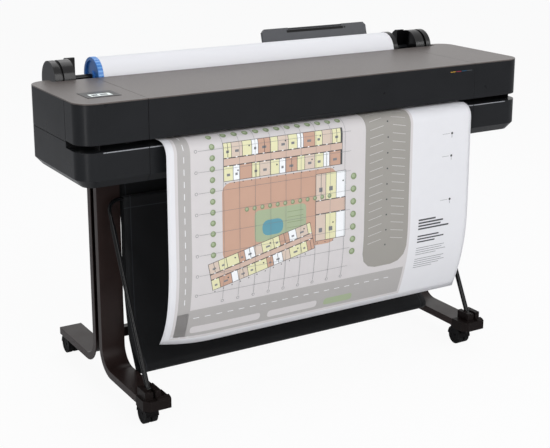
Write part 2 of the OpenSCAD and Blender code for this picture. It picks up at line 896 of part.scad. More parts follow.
module motors() {
    feed_x = gear_x0 - 5;
    y = beam_y0 + beam_t;
    color("#6d6f73") {
        difference() {
            rod_x(feed_x - 44, feed_x, pinion_y, pinion_z, 19);
            rod_x(feed_x - 10, feed_x + 1, pinion_y, pinion_z, pinion_shaft_r + run_fit);
        }
        difference() {
            rod_y(y, y + 40, drive_x, pulley_z, 18);
            rod_y(y - 1, y + 12, drive_x, pulley_z, pinion_shaft_r + run_fit);
        }
    }
}

module carriage_rod() {
    color("#c9ccd0") rod_x(left_frame_x + frame_t, right_frame_x, rod_y, rod_z, rod_r);
}

module carriage() {
    x0 = park_x - carriage_w / 2;
    x1 = park_x + carriage_w / 2;
    clip_z = pulley_z - belt_pitch_r;
    color("#1e1f21") difference() {
        union() {
            along_x(x0, x1) polygon([[carriage_y0, carriage_z0 + 8], [carriage_y0 + 8, carriage_z0],
                [rod_y + 14, carriage_z0], [rod_y + 14, rod_z + 12], [rod_y, carriage_z1 - 6],
                [carriage_y0 + 26, carriage_z1], [carriage_y0, carriage_z1 - 20]]);
            // arm and clip that hold the belt
            box(park_x - 10, park_x + 10, rod_y + 13, belt_y0 + belt_w - 1, clip_z - 3.4,
                clip_z + 3.4);
        }
        rod_x(x0 - 1, x1 + 1, rod_y, rod_z, rod_r + run_fit);
        // slot for the belt
        box(park_x - 11, park_x + 11, belt_y0 - free_gap, big, clip_z - belt_t / 2 - 0.4,
            clip_z + belt_t / 2 + 0.4);
        // well for the print head, open at the top
        box(x0 + 8, x1 - 18, carriage_y0 + 12, rod_y - 14, carriage_z0 - 1, carriage_z1 + 1);
        // pocket and bores for the cutter wheel
        box(cutter_x - 3, cutter_x + 3, cutter_y - 12, cutter_y + 12, carriage_z0 - 1,
            cutter_z + 12);
        rod_x(cutter_x - 6.5, cutter_x + 6.5, cutter_y, cutter_z, 2 + run_fit);
    }
}

module print_head() {
    x0 = park_x - carriage_w / 2;
    x1 = park_x + carriage_w / 2;
    color("#3f6f9a") difference() {
        union() {
            box(x0 + 8, x1 - 18, carriage_y0 + 12, rod_y - 14, carriage_z0 + 4,
                carriage_z1 - 12);
            box(x0 + 20, x1 - 30, carriage_y0 + 22, rod_y - 22, carriage_z0 - 0.6,
                carriage_z0 + 4);
        }
        // finger recess in the latch
        box(x0 + 24, x1 - 34, carriage_y0 + 24, carriage_y0 + 50, carriage_z1 - 18,
            carriage_z1);
    }
}

module cutter_wheel() {
    color("#c4c6c9") {
        rod_x(cutter_x - 1, cutter_x + 1, cutter_y, cutter_z, 8.4);
        rod_x(cutter_x - 6, cutter_x + 6, cutter_y, cutter_z, 2);
    }
}

// a loop of belt round both pulleys, at a given radius
module belt_loop(r) {
    for (x = [idler_x, drive_x]) translate([x, pulley_z]) circle(r);
    translate([idler_x, pulley_z - r]) square([drive_x - idler_x, 2 * r]);
}

module carriage_belt() {
    inner = pulley_r + sheet_gap;
    color("#101011") along_y(belt_y0, belt_y0 + belt_w) difference() {
        belt_loop(inner + belt_t);
        belt_loop(inner);
    }
}

module toothed_pulley(x) {
    teeth = 20;
    along_y(belt_y0 - 0.5, belt_y0 + belt_w + 0.5) translate([x, pulley_z]) difference() {
        circle(pulley_r);
        for (a = [0:360 / teeth:359]) rotate(a) translate([pulley_r, 0]) circle(0.7);
    }
}

module drive_pulley() {
    color("#b7babd") {
        toothed_pulley(drive_x);
        rod_y(belt_y0, beam_y0 + beam_t + 10, drive_x, pulley_z, pinion_shaft_r);
    }
}

module idler_pulley() {
    color("#b7babd") difference() {
        toothed_pulley(idler_x);
        rod_y(belt_y0 - 2, belt_y0 + belt_w + 2, idler_x, pulley_z, idler_pin_r + run_fit);
    }
}

module service_station() {
    x0 = seam_r + 12;
    x1 = right_frame_x - 6;
    y0 = front_y + 84;
    y1 = front_y + 196;
    z1 = window_z - 6;
    color("#4a4b4e") difference() {
        union() {
            box(x0, x1, y0, y1, body_z + 2.5, z1);
            for (i = [0:3]) box(x0 + 12 + i * 20, x0 + 26 + i * 20, y0 + 12, y1 - 30, z1,
                window_z - 1);
        }
        for (i = [0:3]) box(x0 + 14 + i * 20, x0 + 24 + i * 20, y0 + 14, y1 - 32, z1 - 3,
            window_z);
        box(x0 + 3, x1 - 3, y0 + 3, y1 - 3, body_z + 5.5, z1 - 8);
    }
}

module cartridge_bay() {
    y0 = front_y + 12;
    y1 = front_y + 140;
    color("#3b3c3f") difference() {
        union() {
            box(bay_x0, bay_x1, y0, y1, window_z + 2, cover_z - 16);
            // arms that carry the door's hinge pin
            for (z = [window_z + 2, cover_z - 5])
                box(door_pivot_x - 4, bay_x0 + 1, door_pivot_y - 4, door_pivot_y + 4, z, z + 4);
            box(bay_x0 - 3, bay_x0 + 1, door_pivot_y - 4, door_pivot_y + 4, window_z + 2,
                cover_z - 1);
            // foot on the bottom pan
            box(bay_x0 + 20, bay_x1 - 20, front_y + 70, front_y + 130, body_z + 2.5,
                window_z + 2);
        }
        for (i = [0:3]) box(bay_x0 + 3 + i * cart_pitch, bay_x0 + i * cart_pitch + cart_pitch + 1,
            y0 - 1, y1 - 4, window_z + 5, cover_z - 19);
        translate([door_pivot_x, door_pivot_y, window_z])
            cylinder(h = cover_z - window_z, r = door_pin_r);
        box(bay_x0 + 23, bay_x1 - 23, front_y + 73, front_y + 127, body_z, window_z - 1);
    }
}

module ink_cartridges() {
    y0 = front_y + 14;
    y1 = front_y + 134;
    color("#26272a") for (i = [0:cartridge_count - 1]) {
        x0 = bay_x0 + 3 + i * cart_pitch + 0.6;
        x1 = bay_x0 + i * cart_pitch + cart_pitch + 0.4;
        difference() {
            along_x(x0, x1) polygon([[y0 + 4, window_z + 5], [y1, window_z + 5],
                [y1, cover_z - 22], [y0 + 10, cover_z - 22], [y0, cover_z - 32],
                [y0, window_z + 9]]);
            box(x0 + 4, x1 - 4, y0 - 1, y0 + 3, window_z + 20, window_z + 50);
        }
    }
}

module electronics_box() {
    color("#9da0a3") difference() {
        box(board_x0, board_x1, board_y0, board_y1, body_z + pan_t, board_z1);
        box(board_x0 + board_t, board_x1 - board_t, board_y0 + board_t, board_y1 - board_t,
            body_z + pan_t + board_t, board_z1 - board_t);
        louvres(body_z, body_z + pan_t + board_t + 1);
    }
}

module power_inlet() {
    x0 = rocker_x - rocker_w / 2 - free_gap;
    x1 = rocker_x + rocker_w / 2 + free_gap;
    well = inlet_x + 12;
    color("#151517") difference() {
        union() {
            box(inlet_x - inlet_w / 2, inlet_x + inlet_w / 2, back_y - 26, back_y - wall,
                inlet_z - inlet_h / 2 - 2, inlet_z + inlet_h / 2 + 2);
            box(inlet_x - inlet_w / 2, inlet_x + inlet_w / 2, back_y - wall, back_y,
                inlet_z - inlet_h / 2, inlet_z + inlet_h / 2);
        }
        // pin well of the inlet
        box(well - 14, well + 14, back_y - 20, back_y + 1, inlet_z - 10.5, inlet_z + 10.5);
        // opening of the rocker, and the bores of its pin
        box(x0, x1, back_y - 14, back_y + 1, inlet_z - 7.4, inlet_z + 7.4);
        rod_x(x0 - 3.5, x1 + 3.5, back_y - rocker_pin, inlet_z, 1.5 + run_fit);
    }
    color("#c8b070") for (i = [-1, 0, 1]) box(well + i * 7 - 1, well + i * 7 + 1,
        back_y - 20, back_y - 6, inlet_z - 3 + 2 * abs(i), inlet_z + 1 + 2 * abs(i));
}

module power_switch() {
    x0 = rocker_x - rocker_w / 2;
    x1 = rocker_x + rocker_w / 2;
    color("#26272a") {
        along_x(x0, x1) translate([back_y - rocker_pin, inlet_z]) polygon([[-3, -2.5],
            [-3, 2.5], [3.2, 6.2], [4.6, 6.2], [3.4, 0], [4.6, -6.2], [3.2, -6.2]]);
        rod_x(x0 - 3, x1 + 3, back_y - rocker_pin, inlet_z, 1.5);
    }
}

// one roll support: rounded cap, groove, band and the cradle that takes the rod
module roll_support() {
    x0 = support_x0;
    x1 = support_x1;
    groove = 6;
    cradle = x0 + 24;
    // outline of one slice: round above the axis, square below, seated in the trough
    module arch(r) {
        translate([roll_y, roll_z]) circle(r);
        intersection() {
            translate([roll_y - r, roll_z - trough_r]) square([2 * r, trough_r]);
            translate([roll_y, roll_z]) circle(trough_r, $fn = 96);
        }
    }
    difference() {
        union() {
            along_x(x1 - 16, x1) arch(stopper_r);
            along_x(x1 - 25, x1 - 15) arch(stopper_r - groove);
            along_x(cradle, x1 - 24) arch(stopper_r);
            along_x(x0, cradle + 1) intersection() {
                translate([roll_y, roll_z]) circle(trough_r, $fn = 96);
                union() {
                    translate([roll_y - 22, roll_z - 60]) square([72, 56]);
                    translate([roll_y + 16, roll_z - 60]) square([34, 60 + stopper_r]);
                }
            }
        }
        rod_x(x0 - 1, cradle, roll_y, roll_z, spindle_r + run_fit);
        box(x0 - 1, cradle, roll_y - spindle_r - run_fit, roll_y + spindle_r + run_fit,
            roll_z, big);
    }
}

module roll_supports() {
    color("#2f2f31") {
        roll_support();
        mirror([1, 0, 0]) roll_support();
    }
}

module plug(x0, dir, r) {
    rod_x(min(x0, x0 + dir * plug_len), max(x0, x0 + dir * plug_len), roll_y, roll_z, r);
}

module spindle() {
    end_x = support_x0 + 22;
    color("#2a2b2e") {
        rod_x(-end_x, end_x, roll_y, roll_z, spindle_r);
        // fixed flange at the right end of the roll, with its plug
        rod_x(sheet_x1, sheet_x1 + stopper_t, roll_y, roll_z, stopper_r);
        plug(sheet_x1, -1, core_ri);
    }
}

module roll_stopper() {
    x1 = sheet_x0 - sheet_gap;
    x0 = x1 - stopper_t;
    color("#3f74b5") difference() {
        union() {
            rod_x(x0, x1, roll_y, roll_z, stopper_r);
            plug(x1, 1, core_ri - sheet_gap);
        }
        // dished outer face with a collar round the rod
        difference() {
            rod_x(x0 - 1, x0 + 5, roll_y, roll_z, stopper_r - 8);
            rod_x(x0 - 2, x0 + 6, roll_y, roll_z, spindle_r + 7);
        }
        rod_x(x0 - 1, x1 + plug_len + 1, roll_y, roll_z, spindle_r + run_fit);
    }
}

module paper_roll() {
    color("#eceef2") difference() {
        rod_x(sheet_x0, sheet_x1, roll_y, roll_z, roll_r);
        rod_x(sheet_x0 - 1, sheet_x1 + 1, roll_y, roll_z, core_ri + core_wall);
    }
    color("#b79a72") difference() {
        rod_x(sheet_x0, sheet_x1, roll_y, roll_z, core_ri + core_wall);
        rod_x(sheet_x0 - 1, sheet_x1 + 1, roll_y, roll_z, core_ri);
    }
}

// centre line of the hanging sheet, as arcs of a set radius
function sheet_line(d) = concat(
    [[feed_y + 22, sheet_z + d]],
    [for (a = [90:11.25:180]) [front_y + (sheet_bend + d) * cos(a),
        sheet_z - sheet_bend + (sheet_bend + d) * sin(a)]],
    [for (a = [0:sheet_curl / 6:sheet_curl + 0.01])
        [front_y - sheet_bend + sheet_curl_r - (sheet_curl_r + d) * cos(a),
        sheet_drop_z - (sheet_curl_r + d) * sin(a)]]);

function backwards(list) = [for (i = [len(list) - 1:-1:0]) list[i]];

module printed_sheet() {
    color("#e6e8ec") along_x(sheet_x0, sheet_x1)
        polygon(concat(sheet_line(sheet_t), backwards(sheet_line(0))));
}

// side view of one leg channel, between two depths measured from its inside face; its plank
// ends at the tip, and its top runs into the mounting plate
module channel_side(d0, d1, tip) {
    cy = leg_front - bend_r;
    translate([leg_front + d0, bend_z]) square([d1 - d0, leg_top - bend_z + 1]);
    translate([tip, plank_top - d1]) square([cy - tip, d1 - d0]);
    intersection() {
        translate([cy, bend_z]) difference() {
            circle(bend_r + d1, $fn = 96);
            circle(bend_r + d0, $fn = 96);
        }
        translate([cy, bend_z - 2 * bend_r]) square([2 * bend_r, 2 * bend_r]);
    }
}

// channel: a web on the inside of the bend with a flange along each edge
module channel(swivel, tip) {
    x0 = leg_x - leg_w / 2;
    x1 = leg_x + leg_w / 2;
    difference() {
        union() {
            along_x(x0, x1) channel_side(0, channel_t, tip);
            along_x(x0, x0 + channel_t) channel_side(0, channel_d, tip);
            along_x(x1 - channel_t, x1) channel_side(0, channel_d, tip);
            // boss for the caster's stem
            box(leg_x - 14, leg_x + 14, swivel - 14, swivel + 14, plank_z, plank_top - 1);
        }
        translate([leg_x, swivel, 0]) cylinder(h = plank_top - 4, r = stem_r + run_fit);
    }
}

module leg() {
    channel(front_swivel_y, front_plank_y);
    // rear channel, turned round
    translate([0, 2 * leg_mid, 0]) mirror([0, 1, 0])
        channel(2 * leg_mid - rear_swivel_y, 2 * leg_mid - rear_plank_y);
    // mounting plate under the body
    box(leg_x - 45, leg_x + 45, leg_mid - 65, leg_mid + 65, leg_top, body_z);
}

module leg_channels() {
    color("#2a2423") for (s = [0, 1]) mirror([s, 0, 0]) leg();
}

module cross_brace() {
    x = leg_x + 18;
    t = 2;
    color("#2a2627") along_x(-x, x) difference() {
        translate([brace_y, brace_z]) square([channel_gap, brace_h]);
        translate([brace_y + t, brace_z + t]) square([channel_gap - 2 * t, brace_h - 2 * t]);
    }
}

// drawn about the leg's centre line, with the hoop's tube to one side of it
module foot_cap(tube_x) {
    side = leg_w / 2 + cap_wall;
    corner = 14;
    y1 = front_tip + 57;
    z0 = plank_z - cap_wall;
    top = plank_top + cap_wall;
    wall_t = 14;
    wall_y0 = front_tip + 14;
    wall_y1 = hoop_y + 16;
    wall_top = hoop_z + 7;
    in_l = tube_x - ear_in;
    in_r = tube_x + ear_in;
    difference() {
        union() {
            // sleeve over the end of the plank, cut back at one corner
            translate([0, 0, z0]) linear_extrude(top - z0) polygon([[-side, front_tip + corner],
                [-side + corner, front_tip], [side, front_tip], [side, y1], [-side, y1]]);
            // wall on the left of the hoop, with a post in front of the tube
            box(in_l - wall_t, in_l, wall_y0, wall_y1, plank_top, wall_top);
            box(in_l - wall_t, tube_x + 1, wall_y0, hoop_y - 12, plank_top, wall_top - 3);
            // stepped wall on its right, and its toe
            box(in_r, in_r + wall_t, wall_y0, wall_y1, plank_top, wall_top);
            along_x(in_r, side) polygon([[wall_y0 + 1, plank_top], [wall_y0 + 1, top + 5],
                [front_tip + 5, top + 3], [front_tip, top - 1], [front_tip, plank_top]]);
            rod_x(in_l - 1, in_r + 1, hoop_y, hoop_z, hoop_pin_r);
        }
        // pocket for the plank and its caster
        box(-leg_w / 2, leg_w / 2, front_plank_y, y1 + 1, plank_z, plank_top);
        translate([0, front_swivel_y, z0 - 1]) cylinder(h = cap_wall + 2, r = stem_r + 2.5);
    }
}

module foot_caps() {
    color("#211c1b") for (s = [-1, 1]) translate([s * leg_x, 0, 0])
        foot_cap(s * hoop_out);
}

// the hoop is drawn upright over its hinge and then leaned back
module bin_hoop() {
    tube_len = hoop_len * 0.87;
    color("#3f4241") translate([0, hoop_y, hoop_z]) rotate([-hoop_lean, 0, 0]) {
        for (s = [-1, 1]) {
            difference() {
                union() {
                    translate([s * hoop_x, 0, 4]) cylinder(h = tube_len - 4, r = tube_r);
                    rod_x(s * hoop_x - tube_r, s * hoop_x + tube_r, 0, 0, 7);
                    translate([s * hoop_x, 0, tube_len])
                        cylinder(h = hoop_len - hoop_bend - tube_len, r = rod_top_r);
                }
                rod_x(s * hoop_x - 20, s * hoop_x + 20, 0, 0, hoop_pin_r + run_fit);
            }
            translate([s * (hoop_x - hoop_bend), 0, hoop_len - hoop_bend]) rotate([90, 0, 0])
                rotate([0, 0, s > 0 ? 0 : 90]) rotate_extrude(angle = 90)
                    translate([hoop_bend, 0]) circle(rod_top_r);
        }
        rod_x(-hoop_x + hoop_bend, hoop_x - hoop_bend, 0, hoop_len, rod_top_r);
    }
}

module bin_rear_rod() {
    x = leg_x - leg_w / 2;
    color("#3f4241") rod_x(-x, x, rear_rod_y, rear_rod_z, rod_top_r);
}

// side line of the bin fabric: over the bar, down, round the loop and up to the rear rod
function bin_line(d) = let (fold_y = leg_front - fold_out, hem = rod_top_r + 0.4) concat(
    [for (a = [-60:30:210]) [bar_y + (hem + d) * cos(a), bar_z + (hem + d) * sin(a)]],
    [[bar_y - hem - d, bar_z - 60], [bar_y - hem - 3 - d, fold_z + 227],
        [bar_y - hem - 9 - d, fold_z + 102], [fold_y + 24 - d, fold_z + 42 + d]],
    [for (a = [135:30:345]) [fold_y + (fold_r + d) * cos(a), fold_z + (fold_r + d) * sin(a)]],
    [[leg_front - 25 + d, fold_z + 60], [leg_front - 5 + d, fold_z + 172],
        [leg_front + 3 + d, fold_z + 260], [rear_rod_y + 2 + d, rear_rod_z - 60]],
    [for (a = [-30:30:240]) [rear_rod_y + (hem + d) * cos(a), rear_rod_z + (hem + d) * sin(a)]]);

module bin_fabric() {
    color("#141517") along_x(-fabric_w / 2, fabric_w / 2)
        polygon(concat(bin_line(0), backwards(bin_line(fabric_t))));
}

// one caster: stem, web between the wheels, hood and axle
module caster(sx, swivel_y, braked) {
    x = sx * leg_x;
    axle_y = swivel_y + trail;
    half = caster_web / 2 + free_gap + wheel_w + free_gap;
    inner = wheel_r + free_gap;
    collar_z = plank_z - cap_wall - 1;
    color("#18181a") difference() {
        union() {
            difference() {
                union() {
                    // hood, with the collar of the swivel blended into it
                    along_x(x - half, x + half) intersection() {
                        translate([axle_y, wheel_r]) circle(hood_r);
                        translate([axle_y - hood_r, wheel_r]) square([2 * hood_r, hood_r]);
                    }
                    translate([x, swivel_y, wheel_r + 10])
                        cylinder(h = collar_z - wheel_r - 10, r = 10);
                    // lugs that carry the brake pedal
                    if (braked) for (lug = [x - pedal_w / 2 - 3.5, x + pedal_w / 2 + 0.5])
                        along_x(lug, lug + 3) translate([axle_y + pedal_out, pedal_z]) {
                            circle(3.2);
                            translate([-9, -7]) square([9, 10.2]);
                        }
                }
                for (w = [x - half - 1, x + caster_web / 2])
                    rod_x(w, w + half + 1 - caster_web / 2, axle_y, wheel_r, inner);
            }
            // web between the wheels, and the axle
            along_x(x - caster_web / 2, x + caster_web / 2) intersection() {
                translate([axle_y, wheel_r]) circle(hood_r);
                translate([axle_y - hood_r, wheel_r - 6]) square([2 * hood_r, hood_r]);
            }
            rod_x(x - half + 1, x + half - 1, axle_y, wheel_r, axle_r);
            translate([x, swivel_y, collar_z]) cylinder(h = stem_top - collar_z, r = stem_r);
        }
        if (braked) rod_x(x - pedal_w / 2 - 4, x + pedal_w / 2 + 4, axle_y + pedal_out,
            pedal_z, pedal_pin_r + run_fit);
    }
}

module wheel_pair(sx, swivel_y) {
    x = sx * leg_x;
    axle_y = swivel_y + trail;
    near = caster_web / 2 + free_gap;
    far = near + wheel_w;
    color("#101011") for (s = [0, 1]) translate([x, axle_y, wheel_r]) mirror([s, 0, 0])
        difference() {
            rotate([0, 90, 0]) translate([0, 0, near]) cylinder(h = wheel_w, r = wheel_r);
            rod_x(near - 1, far + 1, 0, 0, axle_r + run_fit);
            // dished outer face
            rod_x(far - 2, far + 1, 0, 0, wheel_r - 7);
        }
}

module brake_pedal(sx) {
    x = sx * leg_x;
    color("#242426") translate([x, front_swivel_y + trail + pedal_out, pedal_z]) {
        rod_x(-pedal_w / 2 - 3.4, pedal_w / 2 + 3.4, 0, 0, pedal_pin_r);
        rod_x(-pedal_w / 2, pedal_w / 2, 0, 0, 3);
        along_x(-pedal_w / 2, pedal_w / 2) polygon([[0, 3], [14, 3], [21, 0.6], [20, -1.4],
            [13, 0.6], [0, 0]]);
    }
}

bottom_pan();
lower_cover_left();
lower_cover_center();
lower_cover_right();
left_side_cover();
ink_door();
right_cover();
window_cover();
hinge_pins();
top_plate_center();
end_top_plates();
front_panel();
display();
slot_liners();
rear_housing();
sheet_tray();
tray_extension();
end_frames();
cross_beam();
platen();
feed_roller();
pinch_rollers();
pinch_arms();
feed_gear();
motor_pinion();
motors();
carriage_rod();
carriage();
print_head();
cutter_wheel();
carriage_belt();
drive_pulley();
idler_pulley();
service_station();
cartridge_bay();
ink_cartridges();
electronics_box();
power_inlet();
power_switch();
roll_supports();
spindle();
roll_stopper();
paper_roll();
printed_sheet();
leg_channels();
cross_brace();
foot_caps();
bin_hoop();
bin_rear_rod();
bin_fabric();
caster(-1, front_swivel_y, true);  // caster_front_left
caster(1, front_swivel_y, true);  // caster_front_right
caster(-1, rear_swivel_y, false);  // caster_rear_left
caster(1, rear_swivel_y, false);  // caster_rear_right
wheel_pair(-1, front_swivel_y);  // wheels_front_left
wheel_pair(1, front_swivel_y);  // wheels_front_right
wheel_pair(-1, rear_swivel_y);  // wheels_rear_left
wheel_pair(1, rear_swivel_y);  // wheels_rear_right
brake_pedal(-1);  // brake_pedal_left
brake_pedal(1);  // brake_pedal_right
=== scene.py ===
# The looks of a large format plotter on a rolling stand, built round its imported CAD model.
import bisect
import json
import math

import bmesh
import bpy
from mathutils import Matrix, Vector


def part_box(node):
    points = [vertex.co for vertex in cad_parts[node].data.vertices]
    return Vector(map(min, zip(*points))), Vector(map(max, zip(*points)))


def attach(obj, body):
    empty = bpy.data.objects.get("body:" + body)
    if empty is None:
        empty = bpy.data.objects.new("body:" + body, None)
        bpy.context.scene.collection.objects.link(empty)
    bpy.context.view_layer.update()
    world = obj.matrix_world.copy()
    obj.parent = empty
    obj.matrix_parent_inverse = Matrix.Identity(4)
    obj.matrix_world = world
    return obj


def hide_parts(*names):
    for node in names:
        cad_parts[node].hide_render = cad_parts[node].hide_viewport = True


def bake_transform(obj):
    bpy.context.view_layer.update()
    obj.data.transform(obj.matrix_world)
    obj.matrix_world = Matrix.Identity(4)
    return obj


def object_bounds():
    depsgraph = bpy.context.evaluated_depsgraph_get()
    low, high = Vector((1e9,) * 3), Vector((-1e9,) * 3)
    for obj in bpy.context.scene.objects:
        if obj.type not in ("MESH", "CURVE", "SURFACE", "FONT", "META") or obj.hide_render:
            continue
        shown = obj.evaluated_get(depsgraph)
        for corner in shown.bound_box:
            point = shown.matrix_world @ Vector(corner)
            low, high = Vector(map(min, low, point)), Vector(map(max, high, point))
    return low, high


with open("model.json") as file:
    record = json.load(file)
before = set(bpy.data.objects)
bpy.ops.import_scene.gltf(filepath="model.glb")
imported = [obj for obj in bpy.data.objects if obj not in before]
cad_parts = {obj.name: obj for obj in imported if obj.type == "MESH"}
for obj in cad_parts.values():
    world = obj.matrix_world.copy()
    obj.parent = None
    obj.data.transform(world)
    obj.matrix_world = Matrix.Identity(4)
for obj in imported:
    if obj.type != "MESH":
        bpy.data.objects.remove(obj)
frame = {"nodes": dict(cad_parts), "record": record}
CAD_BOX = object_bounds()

bl_info = {
    "name": "Large Format Plotter",
    "version": (1, 0, 0),
    "blender": (4, 5, 0),
    "location": "3D View > Sidebar > Plotter",
    "description": "Adds the finishes, sheets and small parts of a large format plotter",
    "category": "Add Mesh",
}

MM = 0.001
NODES = frame["nodes"]
TRAY_LEAN = math.radians(-16)
# the hanging sheet: its thickness in the frame, its top's height over the slot's floor, the
# radius of its bend, the drop from that floor to its last curl, and that curl's radius and angle
SHEET_T, SHEET_RISE, SHEET_BEND = 0.001, 0.0105, 0.033
SHEET_DROP, SHEET_CURL_R, SHEET_CURL = 0.284, 0.570, 24.9
# how far the sheet's lower left corner curls, and over what distance
CURL_LIFT, CURL_REACH = 0.012, 0.14
# the bin's cloth: its thickness in the frame, its play round the rods, the gap between the
# hoop's bar and the legs, and its fold's distance in front of the legs, height and radius
FABRIC_T, ROD_PLAY, HOOP_GAP = 0.0016, 0.0004, 0.008
FOLD_OUT, BIN_FOLD_Z, FOLD_R = 0.073, 0.088, 0.016
# outer radius of the cardboard core in the paper roll
CORE_R = 0.0286


def corners(node):
    """Lowest and highest corner of a CAD node, in metres."""
    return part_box(node)


# ---------------------------------------------------------------- sizes and colours

def metres(name, value, words, low, **limits):
    """One length property."""
    return bpy.props.FloatProperty(name=name, description=words, default=value, min=low,
                                   unit="LENGTH", **limits)


class PlotterSizes(bpy.types.PropertyGroup):
    """Sizes of the details that a user would change."""
    # real threads are about 0.5 mm apart and a real moulding grain is about 0.2 mm, and both
    # are drawn coarser so that they show
    edge_round: metres("Cover edge", 0.0012, "Rounding of the moulded cover edges", 0.0,
                       soft_max=0.003)
    screw_d: metres("Screw head", 0.009, "Diameter of the button head screws", 0.002)
    thread: metres("Bin thread", 0.0022, "Spacing of the threads in the bin fabric", 0.0005)
    moulding_grain: metres("Moulding grain", 0.0009, "Grain of the textured covers", 0.0002)
    paper_lift: metres("Ink layer", 0.00008, "Distance between the printed layers", 0.00002)
    focal: bpy.props.FloatProperty(
        name="Focal length", description="Focal length of the camera on a 36 mm sensor",
        default=76.9, min=20.0, unit="CAMERA")


def colour(name, value, words):
    """One sRGB colour property, given as a hex value."""
    return bpy.props.FloatVectorProperty(
        name=name, description=words, subtype="COLOR", size=3, min=0.0, max=1.0,
        default=linear(value)[:3])


def linear(hex_value):
    """An sRGB hex colour such as #336699, as linear RGBA."""
    parts = [int(hex_value[i:i + 2], 16) / 255 for i in (1, 3, 5)]
    return tuple(c / 12.92 if c <= 0.04045 else ((c + 0.055) / 1.055) ** 2.4
                 for c in parts) + (1.0,)


class PlotterColours(bpy.types.PropertyGroup):
    """Colours of the main finishes."""
    cover: colour("Covers", "#1e1f21", "Textured black of the moulded covers")
    top: colour("Top plate", "#5a5350", "Warm grey of the painted top plate")
    leg: colour("Legs", "#271d1b", "Brown black powder coat of the stand")
    rod: colour("Bin rods", "#0c0d0e", "Gloss black powder coat of the bin rods")
    fabric: colour("Bin fabric", "#0f1012", "Black of the woven bin")
    paper: colour("Paper", "#e0e0e3", "White of the coated paper")
    stopper: colour("Stopper", "#4484d2", "Blue of the roll stopper")
    tray: colour("Sheet tray", "#5a5b5e", "Grey of the sheet tray")


def sizes():
    return bpy.context.scene.plotter_sizes


def colours():
    return bpy.context.scene.plotter_colours


# ---------------------------------------------------------------- shader nodes

def add(tree, kind, inputs=None, **settings):
    """Adds one shader node, sets its options and feeds its inputs with values, with links or
    with the first output of other nodes."""
    made = tree.nodes.new("ShaderNode" + kind)
    for name, value in settings.items():
        setattr(made, name, value)
    for name, value in (inputs or {}).items():
        socket = made.inputs[name]
        if isinstance(value, bpy.types.Node):
            value = value.outputs[0]
        if isinstance(value, bpy.types.NodeSocket):
            tree.links.new(value, socket)
        else:
            socket.default_value = value
    return made


# the shader's sockets that a finish may set, by the names its function gives them
SOCKETS = {
    "ior": "IOR", "gloss": "Specular IOR Level", "metallic": "Metallic",
    "roughness": "Roughness", "coat": "Coat Weight", "coat_roughness": "Coat Roughness",
    "sheen": "Sheen Weight", "sheen_roughness": "Sheen Roughness",
}


def new_material(name, **sockets):
    """A node material with its Principled shader, some of whose sockets get one value each."""
    material = bpy.data.materials.new(name)
    material.use_nodes = True
    shader = material.node_tree.nodes["Principled BSDF"]
    for socket, value in sockets.items():
        shader.inputs[SOCKETS[socket]].default_value = value
    return material, material.node_tree, shader


def rgba(value):
    return tuple(value)[:3] + (1.0,)


def shaded(value, factor):
    """The same colour, darker or lighter."""
    return tuple(min(1.0, c * factor) for c in tuple(value)[:3]) + (1.0,)


def toned(tree, source, value, dark, light, start=0.3, end=0.7):
    """The colour from a darker to a lighter shade, as a texture goes from start to end."""
    ramp = add(tree, "ValToRGB", {"Fac": source})
    for stop, place, factor in zip(ramp.color_ramp.elements, (start, end), (dark, light)):
        stop.position = place
        stop.color = shaded(value, factor)
    return ramp.outputs["Color"]


def mottled(tree, shader, value, spread, patch, grain, depth, strength):
    """Slow colour drift over patches of a given size, and a fine grain in relief. Returns the
    textures of the patches and of the grain."""
    place = add(tree, "TexCoord").outputs["Object"]
    patches = add(tree, "TexNoise", {"Vector": place, "Scale": 1 / patch, "Detail": 3.0,
                                     "Roughness": 0.55})
    tree.links.new(toned(tree, patches, value, 1 - spread, 1 + spread),
                   shader.inputs["Base Color"])
    fine = add(tree, "TexNoise", {"Vector": place, "Scale": 1 / grain, "Detail": 2.0,
                                  "Roughness": 0.6})
    relief = add(tree, "Bump", {"Height": fine, "Distance": depth, "Strength": strength})
    tree.links.new(relief.outputs["Normal"], shader.inputs["Normal"])
    return patches, fine


def varied_roughness(tree, shader, source, low, high):
    """Roughness that follows a texture between two values."""
    spread = add(tree, "MapRange", {"Value": source, "From Min": 0.3, "From Max": 0.7,
                                    "To Min": low, "To Max": high})
    tree.links.new(spread.outputs["Result"], shader.inputs["Roughness"])


def grained(name, value, low, high, spread, patch, grain, depth, strength, by_grain=False,
            **sockets):
    """A finish with a colour drift, a grain, and a roughness that follows either of them."""
    material, tree, shader = new_material(name, **sockets)
    patches, fine = mottled(tree, shader, value, spread, patch, grain, depth, strength)
    varied_roughness(tree, shader, fine if by_grain else patches, low, high)
    return material


def moulded_abs(name, value, low=0.38, high=0.5, gloss=0.16):
    """Injection moulded ABS with a spark-eroded texture: soft broad highlights, no mirror."""
    return grained(name, value, low, high, spread=0.05, patch=0.09, grain=sizes().moulding_grain,
                   depth=0.00006, strength=0.6, gloss=gloss)


def painted_top(name, value):
    """Sprayed metallic lacquer on sheet aluminium: satin, with a faint glitter of flakes, which
    are drawn 1.6 mm across so that they show."""
    return grained(name, value, 0.34, 0.46, spread=0.03, patch=0.16, grain=0.0016,
                   depth=0.00002, strength=0.5, by_grain=True, metallic=0.25, gloss=0.3,
                   coat=0.1, coat_roughness=0.25)


def powder_coat(name, value, low, high, gloss):
    """Powder coat on steel sheet: a tight orange peel that breaks the highlight up."""
    return grained(name, value, low, high, spread=0.06, patch=0.05, grain=0.0022,
                   depth=0.00010, strength=0.5, ior=1.5, gloss=gloss)


